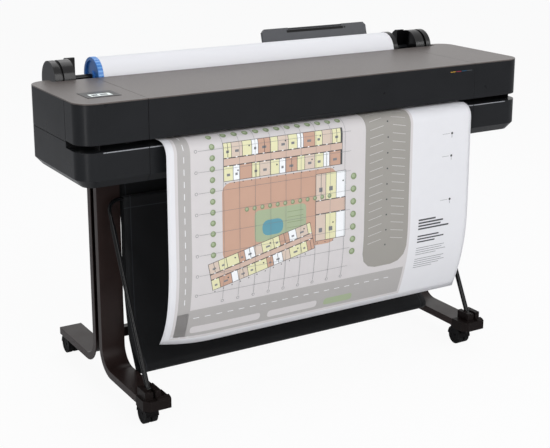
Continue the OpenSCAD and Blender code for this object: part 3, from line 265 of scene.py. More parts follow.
def bare_metal(name, value, roughness):
    """Rolled, turned or zinc-plated metal: drawing marks 30 mm long along X, which are drawn
    1.5 mm across so that they show."""
    material, tree, shader = new_material(name, metallic=1.0)
    place = add(tree, "TexCoord").outputs["Object"]
    drawn = add(tree, "Mapping", {"Vector": place, "Scale": (1.0, 20.0, 20.0)})
    marks = add(tree, "TexNoise", {"Vector": drawn, "Scale": 1 / 0.030, "Detail": 3.0,
                                   "Roughness": 0.6})
    tree.links.new(toned(tree, marks, value, 0.88, 1.08, 0.0, 1.0), shader.inputs["Base Color"])
    varied_roughness(tree, shader, marks, roughness - 0.06, roughness + 0.08)
    return material


def gloss_plastic(name, value, roughness=0.22, gloss=0.4):
    """Polished mould, unpainted plastic: crisp highlight, slight dust softening."""
    return grained(name, value, roughness - 0.04, roughness + 0.06, spread=0.03, patch=0.04,
                   grain=0.002, depth=0.00001, strength=0.3, ior=1.52, gloss=gloss)


def soft_rubber(name, value):
    """Moulded rubber or polyurethane: nearly matte with a dusty bloom."""
    return grained(name, value, 0.6, 0.8, spread=0.12, patch=0.012, grain=0.0012,
                   depth=0.00008, strength=0.5, ior=1.52, gloss=0.15)


def coated_paper(name, value):
    """Matte coated plotter paper: even white with barely any sheen and a faint fibre."""
    return grained(name, value, 0.62, 0.72, spread=0.008, patch=0.03, grain=0.0012,
                   depth=0.00001, strength=0.3, ior=1.45)


def ink(name, value):
    """Pigment ink on coated paper: the paper's own dull surface in another colour."""
    return grained(name, value, 0.55, 0.65, spread=0.012, patch=0.03, grain=0.0012,
                   depth=0.00001, strength=0.3, ior=1.45)


def wound_paper(name, value, core):
    """A wound roll: white round the outside, fine rings of paper edges on the ends, and a brown
    cardboard core."""
    material, tree, shader = new_material(name, ior=1.45, roughness=0.66)
    low, high = corners("paper_roll")
    axis_y, axis_z = (low.y + high.y) / 2, (low.z + high.z) / 2
    place = add(tree, "TexCoord").outputs["Object"]
    centred = add(tree, "Mapping", {"Vector": place, "Location": (0.0, -axis_y, -axis_z),
                                    "Scale": (0.0, 1.0, 1.0)})
    radius = add(tree, "VectorMath", {0: centred}, operation="LENGTH").outputs["Value"]
    # drawn as rings about 0.7 mm apart, far coarser than real paper, so that they show
    rings = add(tree, "Math", {0: radius, 1: 2 * math.pi / 0.0007}, operation="MULTIPLY")
    wave = add(tree, "Math", {0: rings}, operation="SINE")
    normal = add(tree, "NewGeometry").outputs["Normal"]
    facing = add(tree, "SeparateXYZ", {"Vector": normal}).outputs["X"]
    on_end = add(tree, "Math", {0: facing}, operation="ABSOLUTE")
    shade = add(tree, "Math", {0: wave, 1: on_end}, operation="MULTIPLY")
    dimmed = add(tree, "MapRange", {"Value": shade, "From Min": -1.0, "From Max": 1.0,
                                    "To Min": 0.9, "To Max": 1.06})
    tint = add(tree, "VectorMath", {0: tuple(value)[:3], "Scale": dimmed}, operation="SCALE")
    in_core = add(tree, "Math", {0: radius, 1: CORE_R}, operation="LESS_THAN")
    both = add(tree, "Mix", {0: in_core, 6: tint, 7: rgba(core)}, data_type="RGBA")
    tree.links.new(both.outputs[2], shader.inputs["Base Color"])
    return material


def woven_fabric(name, value, thread, width, length):
    """Plain-woven polyester with a matte coating: crossed threads, soft sheen at the edges."""
    material, tree, shader = new_material(name, ior=1.45, gloss=0.2, sheen=0.08,
                                          sheen_roughness=0.45)
    turns = 2 * math.pi / thread
    parts = add(tree, "SeparateXYZ", {"Vector": add(tree, "UVMap")})
    warp = add(tree, "Math", {0: parts.outputs["X"], 1: turns}, operation="MULTIPLY")
    weft = add(tree, "Math", {0: parts.outputs["Y"], 1: turns}, operation="MULTIPLY")
    up = add(tree, "Math", {0: warp}, operation="SINE")
    across = add(tree, "Math", {0: weft}, operation="SINE")
    weave = add(tree, "Math", {0: up, 1: across}, operation="MULTIPLY")
    relief = add(tree, "Bump", {"Height": weave, "Distance": 0.0002, "Strength": 0.5})
    tree.links.new(relief.outputs["Normal"], shader.inputs["Normal"])
    # a stitched line along each hem, drawn 2.4 mm wide so that it shows and four times lighter
    # than the cloth: a painted highlight on the hem
    side = distance_to(tree, parts.outputs["X"], 0.0, width / 2 - 0.018)
    end = distance_to(tree, parts.outputs["Y"], length / 2, length / 2 - 0.05)
    near = add(tree, "Math", {0: side, 1: end}, operation="MINIMUM")
    hem_highlight = add(tree, "Math", {0: near, 1: 0.0012}, operation="LESS_THAN")
    place = add(tree, "TexCoord").outputs["Object"]
    patches = add(tree, "TexNoise", {"Vector": place, "Scale": 1 / 0.12, "Detail": 4.0})
    tone = add(tree, "Mix", {0: hem_highlight, 6: toned(tree, patches, value, 0.85, 1.15),
                             7: shaded(value, 4.0)}, data_type="RGBA")
    tree.links.new(tone.outputs[2], shader.inputs["Base Color"])
    varied_roughness(tree, shader, patches, 0.6, 0.75)
    return material


def distance_to(tree, value, middle, offset):
    """How far a coordinate is from two lines at an offset on both sides of a middle."""
    shifted = add(tree, "Math", {0: value, 1: middle}, operation="SUBTRACT")
    both = add(tree, "Math", {0: shifted}, operation="ABSOLUTE")
    inward = add(tree, "Math", {0: both, 1: offset}, operation="SUBTRACT")
    return add(tree, "Math", {0: inward}, operation="ABSOLUTE")


def lit_display(name, value, strength):
    """Cover lens of a lit display: smooth, and bright by itself."""
    material, tree, shader = new_material(name, roughness=0.1)
    mottled(tree, shader, value, spread=0.02, patch=0.01, grain=0.002, depth=0.000005,
            strength=0.1)
    shader.inputs["Emission Color"].default_value = rgba(value)
    shader.inputs["Emission Strength"].default_value = strength
    return material


# ---------------------------------------------------------------- mesh helpers

def linked(name, bm, material, smooth):
    """Turns a bmesh into an object of the scene with one material or a list of them."""
    mesh = bpy.data.meshes.new(name)
    bm.to_mesh(mesh)
    bm.free()
    piece = bpy.data.objects.new(name, mesh)
    bpy.context.scene.collection.objects.link(piece)
    for each in material if isinstance(material, list) else [material]:
        mesh.materials.append(each)
    mesh.polygons.foreach_set("use_smooth", [smooth] * len(mesh.polygons))
    return piece


def finished(name, bm, material, body, smooth=None):
    """Turns a bmesh into a piece that rides on a body. Smooth is the angle of its sharp edges."""
    bmesh.ops.recalc_face_normals(bm, faces=bm.faces)
    piece = linked(name, bm, material, smooth is not None)
    if smooth is not None:
        piece.data.set_sharp_from_angle(angle=math.radians(smooth))
    if body:
        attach(piece, body)
    return piece


def paint(node, material):
    """Gives a CAD node its finish."""
    mesh = NODES[node].data
    mesh.materials.clear()
    mesh.materials.append(material)


def added_to(node, name, bm, material, smooth=None):
    """A small piece that goes with a CAD node, on its body."""
    finished(name, bm, material, body_of(node), smooth)


def rounded_copy(node, material, width, segments=2):
    """A copy of a CAD node whose hard edges are rounded, which stands for the node."""
    bm = bmesh.new()
    bm.from_mesh(NODES[node].data)
    bmesh.ops.remove_doubles(bm, verts=bm.verts, dist=0.00002)
    bmesh.ops.dissolve_limit(bm, angle_limit=math.radians(1.0), verts=bm.verts, edges=bm.edges)
    piece = linked(node + "_rounded", bm, material, True)
    edge = piece.modifiers.new("Rounded edges", "BEVEL")
    edge.width = width
    edge.segments = segments
    edge.limit_method = "ANGLE"
    edge.angle_limit = math.radians(30)
    edge.use_clamp_overlap = True
    even = piece.modifiers.new("Even shading", "WEIGHTED_NORMAL")
    even.keep_sharp = True
    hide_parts(node)
    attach(piece, body_of(node))


def body_of(node):
    bodies = frame["record"]["behaviour"]["bodies"]
    return next(body for body, nodes in bodies.items() if node in nodes)


ROOT = body_of("bottom_pan")


class PieceOperator:
    """What the operators share: they work in any state and can be undone."""
    bl_options = {"REGISTER", "UNDO"}


# ---------------------------------------------------------------- CAD nodes

class PLOTTER_OT_covers(PieceOperator, bpy.types.Operator):
    """Finish the moulded covers and the painted top plate"""
    bl_idname = "plotter.covers"
    bl_label = "Covers"

    def execute(self, context):
        c, edge = colours(), sizes().edge_round
        cover = moulded_abs("Spark-textured ABS, black", c.cover, 0.27, 0.35, gloss=0.125)
        # deep black on the slot liners, the inlet and the switch, and painted shade for the tray
        # pull's recess
        dark = moulded_abs("Moulded ABS, deep black and painted recess shade", linear("#131314"), 0.5, 0.6)
        top = painted_top("Metallic lacquer, warm grey", c.top)
        for node in ("left_side_cover", "ink_door", "right_cover", "window_cover",
                     "rear_housing"):
            rounded_copy(node, cover, edge)
        for node in ("lower_cover_left", "lower_cover_center", "lower_cover_right"):
            rounded_copy(node, cover, edge * 2, segments=3)
        slot_lips()
        for node in ("top_plate_center", "end_top_plates"):
            rounded_copy(node, top, edge / 4)
        for node in ("slot_liners", "power_inlet", "power_switch"):
            paint(node, dark)
        satin = gloss_plastic("Satin ABS, black", linear("#060607"), 0.22, 0.34)
        rounded_copy("roll_supports", satin, edge)
        rounded_copy("sheet_tray", moulded_abs("Textured ABS, grey", c.tray, 0.34, 0.42), edge)
        paint("tray_extension", moulded_abs("Textured ABS, dark grey", linear("#38393b")))
        # the tray pull's recess is drawn as deep black slabs on the grey tray: painted shade
        pull_recess_shade(dark)
        paint("front_panel", moulded_abs("Moulded bezel, black", linear("#201f1f"), 0.3, 0.4))
        return {"FINISHED"}


def pull_recess_shade(dark):
    """Deep black slabs on the tray's face near its upper edge, for the pull's recess and the short
    slot beside it: painted shade where the recess lies.
    """
    low, high = corners("sheet_tray")
    bm = bmesh.new()
    pull = []
    for left, right, foot, head in ((-98, 98, 92.5, 99.5), (101, 106, 93.5, 98.5)):
        pull += slab(bm, Vector((left, -0.5, foot)) * MM, Vector((right, 0.3, head)) * MM)
    on_tray = Matrix.Translation(((low.x + high.x) / 2, low.y, low.z))
    bmesh.ops.transform(bm, verts=pull, matrix=on_tray @ Matrix.Rotation(TRAY_LEAN, 4, "X"))
    added_to("sheet_tray", "pull_recess_shade", bm, dark)


def slot_lips():
    """Glossy grey lips under the paper slot, one on each lower cover, whose grey is a painted
    highlight along the covers' black top edge. They stop at the round corners of the body and
    leave the seams between the covers open."""
    # the lips are pale grey on the black covers: a painted highlight along the slot's lower edge
    lip_highlight = gloss_plastic("Polished ABS lip, painted highlight grey", linear("#8a8c90"), 0.12, 0.5)
    top = corners("lower_cover_center")[1].z
    corner, seam = 0.056, 0.0006
    for side in ("left", "center", "right"):
        node = "lower_cover_" + side
        low, high = corners(node)
        left = low.x + (corner if side == "left" else seam)
        right = high.x - (corner if side == "right" else seam)
        bm = bmesh.new()
        lip = slab(bm, Vector((left, low.y - 0.0003, top - 0.0030)),
                   Vector((right, low.y + 0.0020, top - 0.0005)))
        bmesh.ops.bevel(bm, geom=list({edge for vert in lip for edge in vert.link_edges}),
                        offset=0.0004, segments=2, profile=0.5, affect="EDGES", material=-1)
        added_to(node, node + "_lip", bm, lip_highlight, smooth=40)


class PLOTTER_OT_roll(PieceOperator, bpy.types.Operator):
    """Finish the roll, its spindle and the blue stopper"""
    bl_idname = "plotter.roll"
    bl_label = "Paper Roll"

    def execute(self, context):
        c = colours()
        # the roll gets the sheet's own paper 1.2 times lighter: painted light on the roll
        paint("paper_roll", wound_paper("Wound coated paper", shaded(c.paper, 1.2),
                                        linear("#a8875c")))
        paint("spindle", gloss_plastic("Moulded nylon, black", linear("#121315"), 0.2, 0.25))
        paint("roll_stopper", gloss_plastic("Moulded nylon, blue", c.stopper, 0.2))
        low, high = corners("roll_stopper")
        bm = bmesh.new()
        ribs, radius, half_rib = 32, (high.z - low.z) / 2, 0.0022
        middle = Matrix.Translation((0.0, (low.y + high.y) / 2, (low.z + high.z) / 2))
        for i in range(ribs):
            made = slab(bm, Vector((low.x + 0.0012, -half_rib, radius - 0.001)),
                        Vector((low.x + 0.0134, half_rib, radius + 0.0006)))
            turn = Matrix.Rotation(2 * math.pi * i / ribs, 4, "X")
            bmesh.ops.transform(bm, matrix=middle @ turn, verts=made)
        # the ribs round the rim are drawn pale blue: a painted highlight for the glint of the
        # glossy rim
        pale = gloss_plastic("Moulded nylon, blue, painted rim highlight", linear("#6fa9e6"), 0.2)
        added_to("roll_stopper", "stopper_ribs", bm, pale)
        return {"FINISHED"}


class PLOTTER_OT_stand(PieceOperator, bpy.types.Operator):
    """Finish the legs, the brace, the foot brackets, the hoop and the casters"""
    bl_idname = "plotter.stand"
    bl_label = "Stand"

    def execute(self, context):
        c, cast_edge = colours(), 0.0008
        leg = powder_coat("Powder coated steel, brown black", c.leg, 0.28, 0.38, 0.18)
        rod = powder_coat("Gloss powder coated tube, black", c.rod, 0.05, 0.09, 0.16)
        caster = moulded_abs("Moulded nylon, caster black", linear("#0c0b0c"), 0.3, 0.42,
                             gloss=0.08)
        cap = moulded_abs("Moulded nylon, foot black", linear("#191413"), gloss=0.08)
        tyre = soft_rubber("Polyurethane tread, black", linear("#0f0f10"))
        for node in ("leg_channels", "cross_brace"):
            rounded_copy(node, leg, cast_edge)
        rounded_copy("foot_caps", cap, sizes().edge_round)
        for node in ("bin_hoop", "bin_rear_rod"):
            paint(node, rod)
        for side in ("left", "right"):
            paint("brake_pedal_" + side, caster)
            for end in ("front", "rear"):
                rounded_copy(f"caster_{end}_{side}", caster, cast_edge)
                rounded_copy(f"wheels_{end}_{side}", tyre, cast_edge * 1.5)
        return {"FINISHED"}


class PLOTTER_OT_engine(PieceOperator, bpy.types.Operator):
    """Finish the print engine inside the body"""
    bl_idname = "plotter.engine"
    bl_label = "Print Engine"

    def execute(self, context):
        for node, name, value, roughness in (
                ("bottom_pan end_frames electronics_box", "Zinc-plated sheet steel",
                 "#a2a5a9", 0.42),
                ("cross_beam", "Extruded aluminium", "#b0b3b7", 0.38),
                ("carriage_rod", "Ground steel rod", "#c9ccd0", 0.2),
                ("hinge_pins", "Turned steel pin", "#aeb1b5", 0.3),
                ("cutter_wheel", "Hardened steel", "#c4c6c9", 0.22),
                ("motors", "Motor can steel", "#85878b", 0.35),
                ("motor_pinion", "Turned brass", "#b9963f", 0.3),
                ("drive_pulley idler_pulley", "Turned aluminium", "#b7babd", 0.3)):
            metal = bare_metal(name, linear(value), roughness)
            for each in node.split():
                paint(each, metal)
        for node, name, value in (
                ("feed_roller", "Grit-coated feed roller", "#4a4c4f"),
                ("pinch_rollers", "Rubber pinch roller", "#222324"),
                ("carriage_belt", "Toothed rubber belt", "#101011")):
            paint(node, soft_rubber(name, linear(value)))
        black = moulded_abs("Moulded ABS, engine black", linear("#222325"), 0.4, 0.55)
        for node in ("platen", "pinch_arms", "carriage", "service_station", "cartridge_bay",
                     "ink_cartridges"):
            paint(node, black)
        paint("feed_gear", moulded_abs("Acetal gear, off-white", linear("#d8d6cc"), 0.35, 0.45))
        paint("print_head", gloss_plastic("Moulded print head, blue", linear("#3f6f9a")))
        return {"FINISHED"}


# ---------------------------------------------------------------- printed sheet

def arc(centre, radius, start, end, steps):
    """Points of an arc round a centre, its angles in degrees."""
    turns = [math.radians(start + (end - start) * i / steps) for i in range(steps + 1)]
    return [(centre[0] + radius * math.cos(a), centre[1] + radius * math.sin(a)) for a in turns]


def sheet_path():
    """The hanging sheet's outer line from the slot to its lower edge, as points in Y and Z."""
    high, front = corners("printed_sheet")[1], corners("lower_cover_center")[0].y
    top, bend, curl = high.z, SHEET_BEND + SHEET_T, SHEET_CURL_R + SHEET_T
    points = [(high.y, top), (front + 0.12, top), (front + 0.04, top)]
    points += arc((front, top - bend), bend, 90, 180, 8)
    drop = top - SHEET_RISE - SHEET_DROP
    straight = points[-1][1]
    for i in range(1, 9):
        points.append((front - bend, straight + (drop - straight) * i / 8))
    return points + arc((front - bend + curl, drop), curl, 180, 180 + SHEET_CURL, 12)[1:]


def path_lengths(points):
    """Running length at each point of a line."""
    total = [0.0]
    for a, b in zip(points, points[1:]):
        total.append(total[-1] + math.dist(a, b))
    return total


def strip(bm, points, x0, x1, columns):
    """A sheet swept along X from a line of points in Y and Z."""
    line = [bm.verts.new((x0, y, z)) for y, z in points]
    edges = [bm.edges.new(pair) for pair in zip(line, line[1:])]
    step = (x1 - x0) / columns
    for _ in range(columns):
        grown = bmesh.ops.extrude_edge_only(bm, edges=edges)["geom"]
        moved = [g for g in grown if isinstance(g, bmesh.types.BMVert)]
        bmesh.ops.translate(bm, verts=moved, vec=(step, 0.0, 0.0))
        edges = [g for g in grown if isinstance(g, bmesh.types.BMEdge)]


def row_of(vert, points):
    """Which point of a sheet's line a vertex was swept from."""
    return min(range(len(points)), key=lambda i: math.dist(points[i], vert.co.yz))


def thickened(piece, name, thickness, offset):
    """Gives a sheet its thickness: on its inner side with an offset of -1, or on both with 0."""
    thick = piece.modifiers.new(name, "SOLIDIFY")
    thick.thickness = thickness
    thick.offset = offset


def curled(point, u, v):
    """The point u across and v up, moved where the sheet's lower left corner curls further."""
    bend = CURL_LIFT * max(0.0, 1 - u / CURL_REACH) ** 2 * max(0.0, 1 - v / CURL_REACH) ** 2
    return point + Vector((0.0, bend, bend))


class Print:
    """Draws flat shapes of ink on the sheet, in millimetres across and up from its lower edge."""

    def __init__(self, points, x0):
        self.points = points
        self.lengths = path_lengths(points)
        self.total = self.lengths[-1]
        self.x0 = x0
        self.bm = bmesh.new()
        self.turn(0.0, 0.0, 0.0)

    def turn(self, u, v, degrees):
        """Sets the corner and the slope of what is drawn next."""
        self.origin = (u, v)
        self.cos, self.sin = math.cos(math.radians(degrees)), math.sin(math.radians(degrees))

    def place(self, u, v, lift):
        """The point u across and v up from the lower edge, lifted off the paper."""
        s = self.total - v
        i = max(1, min(bisect.bisect_left(self.lengths, s), len(self.lengths) - 1))
        a, b = self.points[i - 1], self.points[i]
        t = (s - self.lengths[i - 1]) / (self.lengths[i] - self.lengths[i - 1])
        dy, dz = b[0] - a[0], b[1] - a[1]
        size = math.hypot(dy, dz)
        return curled(Vector((self.x0 + u, a[0] + t * dy + dz / size * lift,
                              a[1] + t * dz - dy / size * lift)), u, v)

    def shape(self, outline, ink_name, layer):
        """A filled outline, cut where the sheet bends so that it follows the paper."""
        spots = [((self.origin[0] + u * self.cos - v * self.sin) * MM,
                  (self.origin[1] + u * self.sin + v * self.cos) * MM) for u, v in outline]
        face = self.bm.faces.new([self.bm.verts.new((u, v, 0.0)) for u, v in spots])
        face.material_index = list(INKS).index(ink_name)
        geom = [face] + list(face.verts) + list(face.edges)
        low, high = min(v for u, v in spots), max(v for u, v in spots)
        for s in self.lengths:
            if low < self.total - s < high:
                geom = bmesh.ops.bisect_plane(self.bm, geom=geom, plane_no=(0, 1, 0), dist=1e-7,
                                              plane_co=(0, self.total - s, 0))["geom"]
        if low < CURL_REACH and min(u for u, v in spots) < CURL_REACH:
            for i in range(1, 8):
                for across in ((1, 0, 0), (0, 1, 0)):
                    geom = bmesh.ops.bisect_plane(
                        self.bm, geom=geom, plane_no=across, dist=1e-7,
                        plane_co=(CURL_REACH * i / 7,) * 2 + (0,))["geom"]
        lift = sizes().paper_lift * (layer + 1)
        for vert in {g for g in geom if isinstance(g, bmesh.types.BMVert)}:
            vert.co = self.place(vert.co.x, vert.co.y, lift)

    def block(self, u, v, w, h, ink_name, layer):
        self.shape([(u, v), (u + w, v), (u + w, v + h), (u, v + h)], ink_name, layer)

    def rounded(self, u, v, w, h, r, ink_name, layer):
        """A block with round corners."""
        turns = ((u + w - r, v + h - r, 0), (u + r, v + h - r, 90),
                 (u + r, v + r, 180), (u + w - r, v + r, 270))
        self.shape([spot for cu, cv, a in turns for spot in arc((cu, cv), r, a, a + 90, 3)],
                   ink_name, layer)

    def disc(self, u, v, r, ink_name, layer, sides=12):
        self.shape([(u + r * math.cos(2 * math.pi * i / sides),
                     v + r * math.sin(2 * math.pi * i / sides)) for i in range(sides)],
                   ink_name, layer)

    def line(self, u0, v0, u1, v1, width, ink_name, layer):
        """A ruled line of a given width."""
        du, dv = u1 - u0, v1 - v0
        a, b = (width / 2 * c / math.hypot(du, dv) for c in (-dv, du))
        self.shape([(u0 - a, v0 - b), (u1 - a, v1 - b), (u1 + a, v1 + b), (u0 + a, v0 + b)],
                   ink_name, layer)

    def tree(self, u, v, r):
        self.disc(u, v, r, "leaf", 8)
        self.disc(u - r * 0.15, v + r * 0.15, r * 0.6, "leaf_light", 9, 8)

    def wing(self, length, depth, widths, tints):
        """A wing of rooms on both sides of a corridor, with doors and a little furniture."""
        wall = 1.3
        room = depth * 0.4
        self.block(0, 0, length, depth, "wall", 4)
        self.block(wall, room + wall, length - 2 * wall, depth - 2 * room - 2 * wall, "tile", 5)
        for row, v in enumerate((wall, depth - room + wall)):
            u, i = wall, row * 3
            while u < length - 8:
                w = min(widths[i % len(widths)], length - u)
                self.block(u, v, w - wall, room - 2 * wall, tints[i % len(tints)], 5)
                door = v + room - 2 * wall - 0.5 if row == 0 else v - wall - 0.5
                self.block(u + w * 0.35, door, 5, wall + 1, "paper_white", 6)
                if i % 3 != 2:
                    self.block(u + w * 0.3, v + room * 0.3, w * 0.34, room * 0.16, "wall_light", 6)
                if i % 4 == 1:
                    self.disc(u + w * 0.7, v + room * 0.6, 2.2, "wall", 6, 8)
                if i % 4 == 3:
                    self.line(u + w * 0.5, v, u + w * 0.5, v + room - 2 * wall, wall, "wall", 6)
                u += w
                i += 1


# colours of the pigment inks on the made-up site plan
INKS = {
    "ground": "#d0cccc", "road": "#aeaba9", "dark": "#9a9791", "terrace": "#c39e8a",
    "tile": "#cdb3a4", "cream": "#e0ddb4", "sand": "#d3c2b4", "leaf": "#84936f",
    "leaf_light": "#a3b091", "pool": "#5f97a6", "wall": "#48494b", "wall_light": "#7b7d80",
    "paper_white": "#eff1f3",
}


def draw_plan(page, width):
    """A made-up site plan: three wings round a terrace, a park, roads, a car park and a key."""
    edge, right, top = 20, width - 196, 606
    page.block(edge, 18, right - edge, top - 18, "ground", 0)
    draw_roads(page, edge, right, top)
    # terrace, lawn and pool
    page.rounded(146, 226, 330, 200, 22, "terrace", 2)
    page.rounded(236, 262, 150, 82, 12, "leaf_light", 3)
    page.rounded(258, 276, 60, 40, 16, "pool", 4)
    for i in range(5):
        page.line(330, 272 + i * 14, 378, 272 + i * 14, 1.2, "leaf", 4)
    for u, v, slope, length, depth, widths, tints in (
            (150, 430, 0, 344, 96, (26, 18, 34, 22, 30), "cream paper_white terrace cream sand"),
            (414, 236, 0, 92, 178, (30, 32, 30), "sand cream paper_white"),
            (120, 156, 12, 300, 74, (22, 34, 18, 28), "cream terrace paper_white sand cream")):
        page.turn(u, v, slope)
        page.wing(length, depth, widths, tints.split())
        for i in range(int(length // 24)):
            page.disc(6 + i * 24, -5, 1.6, "wall", 5, 8)
    page.turn(0, 0, 0)
    for i in range(12):
        page.tree(120, 250 + i * 27, 7.5)
        page.tree(214 + i * 22, 352, 6)
        page.tree(160 + i * 30, 548, 8)
    for i in range(7):
        page.tree(530, 190 + i * 34, 9)
    # survey grid with its round marks, its rows first
    rows = [((82, 150 + i * 52), (520, 150 + i * 52), (76, 150 + i * 52)) for i in range(9)]
    rows += [((150 + i * 44, 128), (150 + i * 44, top), (150 + i * 44, 122)) for i in range(9)]
    for start, end, mark in rows:
        page.line(*start, *end, 0.7, "wall_light", 10)
        page.disc(*mark, 4, "wall_light", 10)
        page.disc(*mark, 3, "ground", 11)
    draw_key(page, width)


def draw_roads(page, edge, right, top):
    """Roads with islands and lane marks, and a car park."""
    page.block(edge + 8, 26, right - edge - 16, 84, "road", 1)
    page.block(edge + 8, 26, 34, top - 26, "road", 1)
    for u, length, name in ((70, 200, "ground"), (292, 150, "ground"), (464, 90, "leaf_light")):
        page.rounded(u, 36, length, 22, 8, name, 2)
    for i in range(19):
        page.block(74 + i * 32, 84, 16, 1.6, "paper_white", 2)
    for i in range(16):
        page.block(edge + 24, 130 + i * 30, 1.6, 15, "paper_white", 2)
    page.rounded(566, 128, right - 574, top - 128, 46, "dark", 2)
    for i in range(17):
        page.line(580, 200 + i * 22, 622, 208 + i * 22, 1.1, "ground", 3)
        page.line(652, 208 + i * 22, 694, 200 + i * 22, 1.1, "ground", 3)
    for i in range(10):
        page.disc(637, 190 + i * 42, 2.4, "wall", 3, 8)


def draw_key(page, width):
    """The key in the margin: plain bars in place of words, and three marks."""
    u = width - 168
    groups = ((238, 8.4, 4.6, "wall", (58, 84, 76, 104)), (192, 8.4, 4.0, "wall", (72, 90, 60)),
              (158, 6.6, 1.6, "wall_light", (96, 88, 102, 70)),
              (124, 6.6, 1.6, "wall_light", (100, 92, 104, 86, 64)))
    for v, pitch, height, name, lengths in groups:
        for i, length in enumerate(lengths):
            page.block(u, v - i * pitch, length, height, name, 1)
    for v in (286, 408, 470):
        page.disc(width - 64, v, 3.6, "wall", 1)
        page.line(width - 64, v - 12, width - 64, v - 5, 1.2, "wall", 1)
        page.line(width - 96, v, width - 72, v, 0.9, "wall_light", 1)


class PLOTTER_OT_printed_sheet(PieceOperator, bpy.types.Operator):
    """Hang the printed sheet out of the slot, with a made-up site plan on it"""
    bl_idname = "plotter.printed_sheet"
    bl_label = "Printed Sheet"

    def execute(self, context):
        low, high = corners("printed_sheet")
        points = sheet_path()
        paper = coated_paper("Coated plotter paper", colours().paper)
        bm = bmesh.new()
        strip(bm, points, low.x, high.x, 80)
        lengths = path_lengths(points)
        for vert in bm.verts:
            up = lengths[-1] - lengths[row_of(vert, points)]
            vert.co = curled(vert.co, vert.co.x - low.x, up)
        sheet = finished("hanging_sheet", bm, paper, ROOT, smooth=60)
        thickened(sheet, "Paper", 0.0003, -1.0)
        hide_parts("printed_sheet")
        inks = [ink("Pigment ink, " + name.replace("_", " "), linear(value))
                for name, value in INKS.items()]
        page = Print(points, low.x)
        draw_plan(page, (high.x - low.x) / MM)
        drawing = finished("ink_layer", page.bm, inks, ROOT, smooth=60)
        return {"FINISHED"}


# ---------------------------------------------------------------- catch bin

def bin_path():
    """The bin fabric's line: down from the hoop's bar, round the fold and up to the rear rod."""
    hoop, rear = corners("bin_hoop"), corners("bin_rear_rod")
    rod = (rear[1].z - rear[0].z) / 2
    out = FABRIC_T / 2
    hem = rod + ROD_PLAY + out
    bar = (hoop[1].y - rod, hoop[1].z - rod)
    rear = (rear[0].y + rod, rear[0].z + rod)
    leg = bar[0] + rod + HOOP_GAP
    fold, fold_r = (leg - FOLD_OUT, BIN_FOLD_Z), FOLD_R + out
    points = arc(bar, hem, -60, 210, 14)
    for back, z in ((0.0, bar[1] - 0.030), (0.0, bar[1] - 0.060), (0.0015, bar[1] - 0.135),
                    (0.003, fold[1] + 0.227), (0.006, fold[1] + 0.165),
                    (0.009, fold[1] + 0.102), (0.019, fold[1] + 0.072)):
        points.append((bar[0] - hem - back, z))
    points.append((fold[0] + 0.024 - out, fold[1] + 0.042))
    points += arc(fold, fold_r, 135, 345, 14)
    for y, z in ((-0.025, 0.060), (-0.014, 0.116), (-0.005, 0.172), (0.003, 0.260)):
        points.append((leg + y + out, fold[1] + z))
    for y, z in ((-0.008, -0.160), (0.002, -0.060)):
        points.append((rear[0] + y + out, rear[1] + z))
    return points + arc(rear, hem, -30, 240, 14)


class PLOTTER_OT_catch_bin(PieceOperator, bpy.types.Operator):
    """Sew the catch bin and hang it between the hoop and the rear rod"""
    bl_idname = "plotter.catch_bin"
    bl_label = "Catch Bin"

    def execute(self, context):
        low, high = corners("bin_fabric")
        points = bin_path()
        lengths = path_lengths(points)
        cloth = woven_fabric("Woven polyester, black", colours().fabric, sizes().thread,
                             high.x - low.x, lengths[-1])
        # one cloth in two pieces: the front and the fold swing with the hoop, and the back stays
        # where it hangs from the rear rod
        cut = max(i for i, (_, z) in enumerate(points) if z < BIN_FOLD_Z)
        front = cloth_piece("bin_front", points, 0, cut, cloth)
        back = cloth_piece("bin_back", points, cut, len(points) - 1, cloth)
        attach(front, "hoop")
        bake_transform(back)
        for piece, start, end, rods in ((front, 0, cut, ["bin_hoop"]),
                                        (back, cut, -1, ["bin_rear_rod"])):
            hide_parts("bin_fabric")
        return {"FINISHED"}


def cloth_piece(name, points, first, last, cloth):
    """A stretch of the bin's cloth between two points of its line, with its length as UV."""
    low, high = corners("bin_fabric")
    lengths, stretch = path_lengths(points), points[first:last + 1]
    bm = bmesh.new()
    strip(bm, stretch, low.x, high.x, 60)
    uv = bm.loops.layers.uv.new("Fabric")
    running = {vert: lengths[first + row_of(vert, stretch)] for vert in bm.verts}
    for face in bm.faces:
        for loop in face.loops:
            loop[uv].uv = (loop.vert.co.x, running[loop.vert])
    for vert in bm.verts:
        sag(vert, low, high)
    piece = finished(name, bm, cloth, None, smooth=70)
    thickened(piece, "Cloth", 0.0008, 0.0)
    return piece


def sag(vert, low, high):
    """Slow hanging waves in the cloth, fading at its hems and its sides."""
    x, _, z = vert.co
    across = (x - low.x) / (high.x - low.x)
    up = (z - low.z) / (high.z - low.z)
    free = math.sin(math.pi * up) ** 0.6 if 0.0 < up < 1.0 else 0.0
    wave = 0.0022 * math.sin(across * 23.0 + up * 2.0) + 0.0016 * math.sin(across * 9.5 + 1.0)
    vert.co.y += wave * free * 0.6


# ---------------------------------------------------------------- small pieces

def slab(bm, low, high):
    """A box between two corners."""
    made = bmesh.ops.create_cube(bm, size=1.0)["verts"]
    bmesh.ops.scale(bm, verts=made, vec=high - low)
    bmesh.ops.translate(bm, verts=made, vec=(low + high) / 2)
    return made


